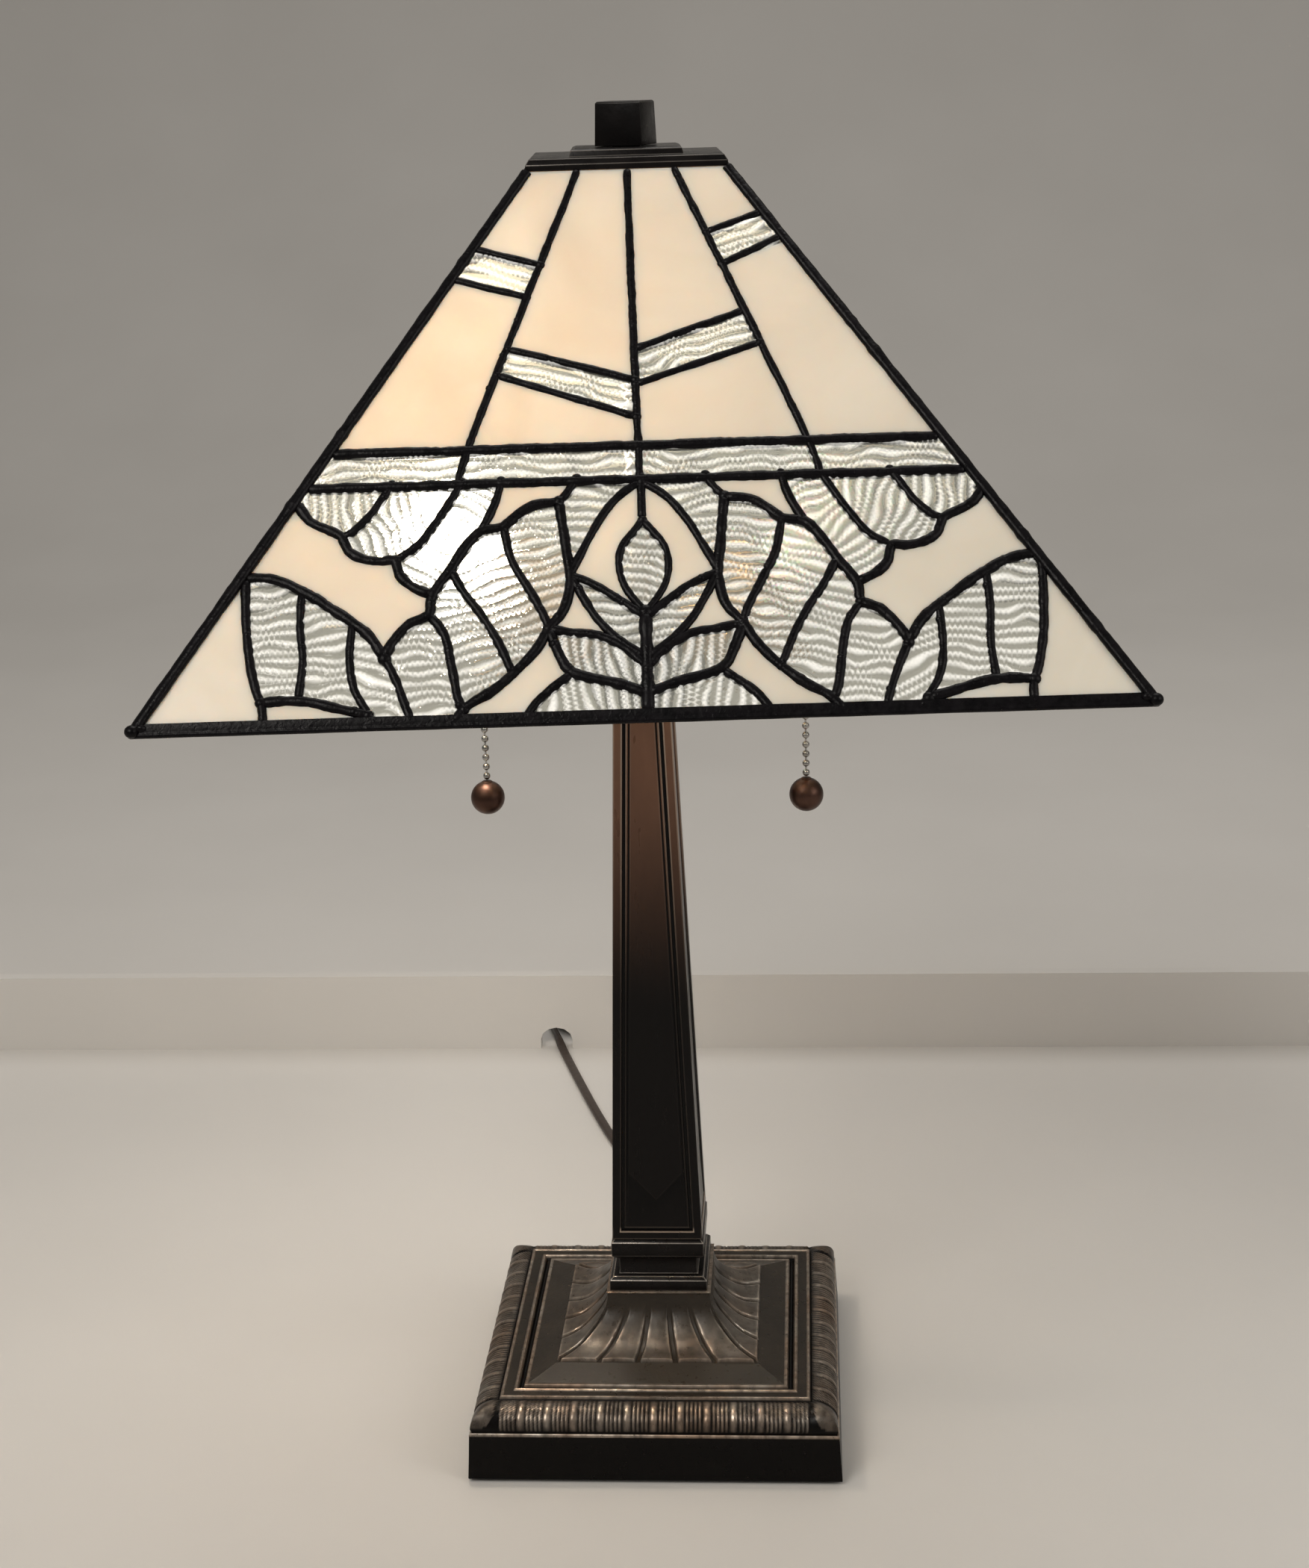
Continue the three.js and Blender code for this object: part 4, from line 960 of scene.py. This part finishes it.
# A point inside each clear piece, and the slant of its ripples in degrees
clear_upper = [(-50, 186, -15), (-23, 138, -17), (22, 151, 19), (44, 197, 19),
               (-85, 103, 1), (-30, 103, -1), (30, 103, 1), (85, 103, -2)]
clear_leaves = [(130, 35, -4), (111, 30, -4), (94, 16, 24), (36, 66, -8), (52, 55, -16), (60, 27, -14),
                (78, 22, -3), (22, 80, 14), (70, 72, 32), (84, 79, 68), (106, 88, 82), (13, 43, 8),
                (18, 26, 80), (18, 8, 84)]


def both(line):
    return [line, [(-x, y) for x, y in line]]


def lines_with_width():
    """Every solder line on the glass, smoothed."""
    lines = [(line, 3.1) for line in upper_lines] + [(line, 4.0) for line in band_lines]
    for line, width in leaf_lines:
        lines += [([(x + drift, y) for x, y in half], width - 0.3) for half in both(line)]
    lines += [([(drift, 97), (drift, 79.5)], 3.3), ([(x + drift, y) for x, y in stem_line], 4.8)]
    return [(bent([on_face(x, y) for x, y in line]), width) for line, width in lines]


def pane_outline():
    lo, hi = half_at(pane_foot), half_at(pane_top)
    return [(-lo, pane_foot), (lo, pane_foot), (hi, pane_top), (-hi, pane_top)]


def bent(line, step=3.0):
    """A line of points smoothed through its corners, for curved leads."""
    if len(line) < 3:
        return [Vector(p) for p in line]
    return [Vector((p.x, p.y)) for p in spline([(x, y, 0) for x, y in line], step)]


def cut_face():
    """The face cut into triangles along every line: points, triangles, and each one's region."""
    verts, edges = [], []

    def chain(points, closed=False):
        start = len(verts)
        verts.extend(Vector(p[:2]) for p in points)
        edges.extend((start + i, start + i + 1) for i in range(len(points) - 1))
        if closed:
            edges.append((start + len(points) - 1, start))

    chain(pane_outline(), True)
    overrun = 1.3
    for line, _ in lines_with_width():
        first = line[0] + (line[0] - line[1]).normalized() * overrun
        last = line[-1] + (line[-1] - line[-2]).normalized() * overrun
        chain([first, *line, last])
    points, made_edges, faces, _, edge_source, _ = delaunay_2d_cdt(verts, edges, [], 0, 1e-3)
    solid = {tuple(sorted(e)) for e, source in zip(made_edges, edge_source) if source}
    return points, faces, regions(faces, solid)


def sides_of(loop):
    return zip(loop, [*loop[1:], loop[0]])


def regions(faces, solid):
    """A number for each triangle, the same for those with no solid edge between them."""
    by_edge = {}
    for f, face in enumerate(faces):
        for side in sides_of(face):
            by_edge.setdefault(tuple(sorted(side)), []).append(f)
    region = [-1] * len(faces)
    count = 0
    for seed in range(len(faces)):
        if region[seed] >= 0:
            continue
        stack, region[seed] = [seed], count
        while stack:
            for side in sides_of(faces[stack.pop()]):
                key = tuple(sorted(side))
                if key in solid:
                    continue
                for other in by_edge[key]:
                    if region[other] < 0:
                        region[other] = count
                        stack.append(other)
        count += 1
    return region


def outline_of(triangles, points):
    """The loop of points round a patch of triangles."""
    directed = {side: True for face in triangles for side in sides_of(face)}
    border = {a: b for a, b in directed if (b, a) not in directed}
    loop, at = [], next(iter(border))
    while at in border:
        loop.append(points[at].copy())
        at = border.pop(at)
    return loop


def find_panes():
    """The panes between the lines, each as (loop of points, slant of its ripples, or None if opal)."""
    smallest = 12
    points, faces, region = cut_face()
    seeds = list(clear_upper) + [(drift + x, y, slant) for x, y, slant in mirrored(clear_leaves)]
    seeds.append((drift, 60, -6))
    seeds = [(on_face(x, y), slant) for x, y, slant in seeds]
    panes = []
    for r in range(max(region) + 1):
        mine = [face for face, number in zip(faces, region) if number == r]
        area = sum(abs((points[b] - points[a]).cross(points[c] - points[a])) for a, b, c in mine) / 2
        if area < smallest:
            continue
        loop = outline_of(mine, points)
        centre = sum(loop, Vector((0, 0))) / len(loop)
        if not (pane_foot - 1 < centre.y < pane_top + 1 and abs(centre.x) < half_at(centre.y)):
            continue
        outlines = [[points[i] for i in face] for face in mine]
        slant = next((s for p, s in seeds if any(inside(p, outline) for outline in outlines)), None)
        panes.append((loop, slant))
    return panes


def mirrored(places):
    return [(s * x, y, s * slant) for x, y, slant in places for s in (1, -1)]


def inside(p, polygon):
    """Whether an even or odd number of the polygon's sides lies to the right of p."""
    hit = False
    for a, b in sides_of(polygon):
        if (a[1] > p[1]) != (b[1] > p[1]) and p[0] < (b[0] - a[0]) * (p[1] - a[1]) / (b[1] - a[1]) + a[0]:
            hit = not hit
    return hit


def inset(loop, distance):
    """A loop moved inwards (it runs anticlockwise), by an even distance."""
    out = []
    n = len(loop)
    for i, point in enumerate(loop):
        a = (point - loop[i - 1]).normalized()
        b = (loop[(i + 1) % n] - point).normalized()
        side = Vector((-a.y - b.y, a.x + b.x))
        if side.length < 1e-6:
            side = Vector((-a.y, a.x))
        side.normalize()
        reach = distance / max(side.dot(Vector((-a.y, a.x))), 0.5)
        out.append(point + side * reach)
    return out


def ripple(a, b):
    """Height of the clear glass's front, and how near to a crest it is, a along and b across the ripples."""
    wave = 1.5 * math.sin(a * 0.13 + b * 0.11) + 0.5 * math.sin(a * 0.33 - b * 0.23 + 1.3)
    wave += 3.4 * noise.noise(Vector((a * 0.10, b * 0.13, 3.1)))
    crest = math.sin(2 * math.pi * b / 3.9 + wave)
    strength = 0.42 + 0.34 * noise.noise(Vector((a * 0.12, b * 0.3, 8.7)))
    return GLASS / 2 + strength * crest, 0.5 + 0.5 * crest * min(1, strength / 0.42)


def ring_of(loop, spacing):
    """A pane's edge, just clear of its neighbours, as points about spacing apart, anticlockwise."""
    loop = [p for i, p in enumerate(loop) if (p - loop[i - 1]).length > 0.05]
    if sum(a.cross(b) for a, b in sides_of(loop)) < 0:
        loop.reverse()
    ring = []
    for a, b in sides_of(inset(loop, 0.3)):
        count = max(1, round((b - a).length / spacing))
        ring += [a.lerp(b, i / count) for i in range(count)]
    return ring


def points_inside(ring, u, v):
    """Staggered rows of points inside a ring, close enough to carry the ripples."""
    us, vs = [p.dot(u) for p in ring], [p.dot(v) for p in ring]
    du, dv = 1.9, 0.85
    out = []
    for j in range(int((max(vs) - min(vs)) / dv) + 1):
        for i in range(int((max(us) - min(us)) / du) + 2):
            p = u * (min(us) + (i + 0.5 * (j % 2)) * du) + v * (min(vs) + (j + 0.5) * dv)
            if inside(p, ring) and min((p - q).length_squared for q in ring) > 0.5:
                out.append(p)
    return out


def pane_solid(shape, loop, slant):
    """One pane: flat behind, and on its front either flat, if slant is None, or rippled."""
    ring = ring_of(loop, 6 if slant is None else 1.6)
    points = [Vector(p) for p in ring]
    if slant is not None:
        angle = math.radians(slant)
        u, v = Vector((math.cos(angle), math.sin(angle))), Vector((-math.sin(angle), math.cos(angle)))
        points += points_inside(ring, u, v)
    edge = [list(range(len(ring)))]
    top, _, faces = delaunay_2d_cdt(points, [], edge, 1, 1e-5)[:3]
    back, _, back_faces = delaunay_2d_cdt([Vector(p) for p in ring], [], edge, 1, 1e-5)[:3]
    front = [(GLASS / 2, 0.5) if slant is None else ripple(p.dot(u), p.dot(v)) for p in top]
    base = len(shape.verts)
    start = base + len(top)
    shape.verts += [(p.x, p.y, height) for p, (height, _) in zip(top, front)]
    shape.faces += [tuple(base + i for i in face) for face in faces]
    shape.verts += [(p.x, p.y, -GLASS / 2) for p in back]
    shape.values += [crest for _, crest in front] + [0.5] * len(back)
    shape.faces += [tuple(start + i for i in reversed(face)) for face in back_faces]
    where = {(round(p.x, 3), round(p.y, 3)): i for i, p in enumerate(top)}
    under = {(round(p.x, 3), round(p.y, 3)): i for i, p in enumerate(back)}
    for a, b in sides_of([(round(p.x, 3), round(p.y, 3)) for p in ring]):
        if a in where and b in where and a in under and b in under:
            shape.faces.append((start + under[a], start + under[b], base + where[b], base + where[a]))


def bead(shape, line, width, height, foot, lumps=0.10, taper=True, seed=0.0, matrix=None):
    """A rounded run of solder along a line on a face, raised from foot."""
    points = [line[0]]
    for a, b in zip(line, line[1:]):
        count = max(1, math.ceil((b - a).length / 1.7))
        points += [a.lerp(b, i / count) for i in range(1, count + 1)]
    total = sum((b - a).length for a, b in zip(points, points[1:]))
    rings, run = [], 0.0
    for i, p in enumerate(points):
        ahead = (points[min(i + 1, len(points) - 1)] - points[max(i - 1, 0)]).normalized()
        out = Vector((-ahead.y, ahead.x))
        if i:
            run += (p - points[i - 1]).length
        size = 1 + lumps * 1.6 * noise.noise(Vector((p.x * 0.19 + seed, p.y * 0.19, 0.7)))
        size += 1.3 * lumps * noise.noise(Vector((p.x * 0.62, p.y * 0.62 + seed, 4.2)))
        end = min(run, total - run)
        if taper and end < width / 2:
            size *= math.sqrt(max(0.02, 1 - (1 - 2 * end / width) ** 2))
        shift = 0.25 * noise.noise(Vector((p.x * 0.11, p.y * 0.11, 9.3 + seed)))
        ring = []
        for k in range(7):
            a = math.pi * k / 6
            side = width / 2 * size * math.cos(a) + shift
            rise = math.copysign(height, foot) * size * math.sin(a)
            ring.append((p.x + out.x * side, p.y + out.y * side, foot + rise))
        rings.append(ring)
    if foot < 0:
        rings = [list(reversed(r)) for r in rings]
    shape.rings(rings, matrix=matrix)


def on_glass(p):
    """The nearest point of the glass to a point of a line."""
    return Vector((max(-half_at(p.y), min(half_at(p.y), p.x)), min(max(p.y, pane_foot), pane_top)))


def well_inside(p):
    return abs(p.x) < half_at(p.y) - 2 and pane_foot + 2 < p.y < pane_top - 2


def solder_net():
    """All the solder on one face, outside and inside."""
    shape = Shape()
    lines = lines_with_width()
    sunk = GLASS / 2 - 0.15
    for foot in (sunk, -sunk):
        seed = 0.0 if foot > 0 else 31.0
        for line, width in lines:
            broad = width * (1 if foot > 0 else 0.85)
            bead(shape, [on_glass(p) for p in line], broad, 0.36 * width, foot, seed=seed)
        for line, width in lines:
            for p in (line[0], line[-1]):
                size = width * rng.uniform(0.52, 0.64)
                if well_inside(p):
                    shape.ball((p.x, p.y, foot), size, 8, 14, (1, 1, 0.66))
            for p in line[2::5]:
                if rng.random() < 0.25 and well_inside(p):
                    x = p.x + rng.uniform(-0.5, 0.5)
                    shape.ball((x, p.y, foot), width * rng.uniform(0.46, 0.54), 8, 12, (1, 1, 0.74))
    return shape


def make_panes():
    opal_shape, clear_shape = Shape(), Shape()
    for loop, slant in find_panes():
        pane_solid(opal_shape if slant is None else clear_shape, loop, slant)
    return opal_shape, clear_shape


def make_hip(side):
    """The solder over one corner of the shade, a lumpy round bar."""
    turn = Matrix.Rotation(shade_turn + side * math.pi / 2, 4, "Z")
    foot = Vector((face_half, -face_half, rim_z + 1.5))
    head = Vector((half_at(slope - 1.5), -half_at(slope - 1.5), cap_z - 1.2))
    along = (head - foot).normalized()
    out = Vector((1, -1, 0))
    out = (out - out.dot(along) * along).normalized()
    across = along.cross(out)
    shape = Shape()
    count = 110
    rings = []
    for i in range(count + 1):
        p = foot.lerp(head, i / count)
        size = 1 + 0.10 * noise.noise(Vector((p.x * 0.2, p.z * 0.2, side + 0.3)))
        size += 0.09 * noise.noise(p * 0.55)
        if rng.random() < 0.03:
            size *= 1.12
        rings.append([tuple(p + out * (math.cos(a) * 1.9 * size + 0.9) + across * math.sin(a) * 2.5 * size)
                      for a in (2 * math.pi * k / 14 for k in range(14))])
    shape.rings(rings, matrix=turn)
    for i in range(12):
        p = foot.lerp(head, rng.uniform(0.02, 0.98)) + out * 1.1 + across * rng.uniform(-1.4, 1.4)
        shape.ball(turn @ p, rng.uniform(1.0, 1.6), 6, 10)
    names = ["front_right", "right_back", "back_left", "left_front"]
    shape.piece(f"hip_solder_{names[side]}", "solder", "shade", "lead", [f"corner_came_{names[side]}"], 70)


def rim_wobble(x, share, row, along):
    offset = np.array([0.10 * noise.noise(Vector((v * 0.12, along * 0.3, 2.5))) for v in x])
    return offset * (1 - np.abs(share) ** 12), np.zeros(len(x))


def make_rim():
    """A folded channel round the foot of the glass, with solder at its corners."""
    z = rim_z
    top = (face_half - 3.9 * inward, z + 3.9 * upward)
    nx, nz = upward, inward
    # Bead at the foot as (in from the edge, up), then the two lips against the glass
    foot = [(1.9, 0), (0.7, 0.05), (0.15, 0.5), (0, 1.2), (0.3, 1.8), (0.75, 2.1), (0.85, 2.5)]
    lips = [(2.5, 2.5), (2.2, 3.0), (1.5, 2.9), (-1.7, -1.4), (-2.2, -2.0)]
    back = [(4.3, 1.4), (4.2, 0.6), (3.6, 0.1), (1.9, 0)]
    outer = [(shade_half - x, z + up) for x, up in foot]
    outer += [(top[0] + a * nx, top[1] + b * nz) for a, b in lips]
    outer += [(shade_half - x, z + up) for x, up in back]
    verts, faces, _ = square_sweep(outer, np.linspace(-1, 1, 91), rim_wobble)
    mesh = mesh_of("shade_rim_look", verts, faces, 50, weld=True)
    turn = Matrix.Rotation(shade_turn, 4, "Z")
    place("shade_rim_look", mesh, "solder", "shade", "lead", ["shade_rim"], turn)
    shape = Shape()
    for x, y in ((-1, -1), (1, -1), (1, 1), (-1, 1)):
        c = face_half + 0.6
        shape.ball((x * c, y * c, z + 2.6), 2.5, 10, 16, (1.05, 1.05, 0.95))
        shape.ball((x * (c - 3.2), y * (c - 0.6), z + 3.4), 1.8, 8, 12, (1.2, 0.8, 0.9))
        shape.ball((x * (c - 0.7), y * (c - 3.6), z + 3.2), 1.8, 8, 12, (0.8, 1.2, 0.9))
    shape.piece("rim_corner_solder", "solder", "shade", "lead", [], 70, turn)


opal_shape, clear_shape = make_panes()
opal_mesh = mesh_of("opal_panes", opal_shape.verts, opal_shape.faces, 40)
clear_mesh = mesh_of("clear_panes", clear_shape.verts, clear_shape.faces, 60, crest=clear_shape.values)
net = solder_net()
net_mesh = mesh_of("solder_net", net.verts, net.faces, 70)
for side, name in enumerate(("front", "right", "back", "left")):
    matrix = face_matrix(side)
    place(f"opal_panes_{name}", opal_mesh, "opal", "shade", "opal_glass", [f"glass_panel_{name}"], matrix)
    place(f"clear_panes_{name}", clear_mesh, "clear", "shade", "opal_glass", [], matrix)
    place(f"solder_{name}", net_mesh, "solder", "shade", "lead", [f"lead_lines_{name}"], matrix)
    make_hip(side)
make_rim()
# The wear values set how bright the rounded edges are painted: partly rubbed metal, partly a painted
# highlight.
refined("shade_cap", "black", "shade", "black_bronze", 0.26, 3, wear=0.30)
refined("top_ring", "brass", "shade", "brass", 0.4, 2)
refined("seat_nut", "brass", "base", "brass", 0.5, 2)
refined("finial", "black", "finial", "black_bronze", 0.28, 3, wear=0.06)


# ---------- stage ----------
def stage_piece(name, verts, faces):
    mesh = bpy.data.meshes.new(name)
    mesh.from_pydata(verts, [], faces)
    mesh.materials.append(finishes["floor"])
    return linked(name, mesh)


def make_stage():
    """The floor, which curves up far behind, and a low ledge with an opening for the cord."""
    line = [(-7, 0), (1.6, 0)]
    line += [(1.6 + 1.4 * math.sin(a), 1.4 - 1.4 * math.cos(a)) for a in np.radians(range(5, 91, 5))]
    line.append((3.0, 6))
    n = len(line)
    floor = stage_piece("floor", [(x, y, z) for x in (-9, 9) for y, z in line],
                        [(i, i + n, i + n + 1, i + 1) for i in range(n - 1)])
    shade(floor.data, 60)
    reach, top, near, far = 1.2, 0.049, 0.399, 0.407
    middle, half, jamb = -0.0905, 0.010, 0.006
    section = [(-reach, 0), (middle - half, 0), (middle - half, jamb)]
    section += [(middle + half * math.cos(a), jamb + 0.008 * math.sin(a))
                for a in np.radians([150, 120, 90, 60, 30])]
    section += [(middle + half, jamb), (middle + half, 0), (reach, 0), (reach, top), (-reach, top)]
    n = len(section)
    faces = [tuple(range(n)), tuple(reversed(range(n, 2 * n)))]
    faces += [(i, i + n, (i + 1) % n + n, (i + 1) % n) for i in range(n)]
    ledge = stage_piece("ledge", [(x, y, z) for y in (near, far) for x, z in section], faces)


def lamp_light(name, kind, place, target, power, size, colour):
    data = bpy.data.lights.new(name, kind)
    data.energy = power
    data.size = size
    data.color = colour
    light = linked(name, data)
    light.location = place
    light.rotation_euler = (Vector(target) - Vector(place)).to_track_quat("-Z", "Y").to_euler()


make_stage()
world = bpy.data.worlds.new("studio")
bpy.context.scene.world = world
world.use_nodes = True
sky = next(n for n in world.node_tree.nodes if n.type == "BACKGROUND")
sky.inputs["Color"].default_value = (0.86, 0.83, 0.79, 1)
sky.inputs["Strength"].default_value = 0.27
lamp_light("key", "AREA", (-0.9, -1.5, 1.9), (0, 0, 0.2), 22, 1.0, (1.0, 0.96, 0.90))
lamp_light("fill", "AREA", (1.6, -0.9, 1.3), (0, 0, 0.25), 10, 1.2, (1.0, 0.95, 0.90))
lamp_light("top", "AREA", (0.2, 0.9, 2.2), (0, 0, 0.2), 14, 1.4, (1.0, 0.97, 0.93))
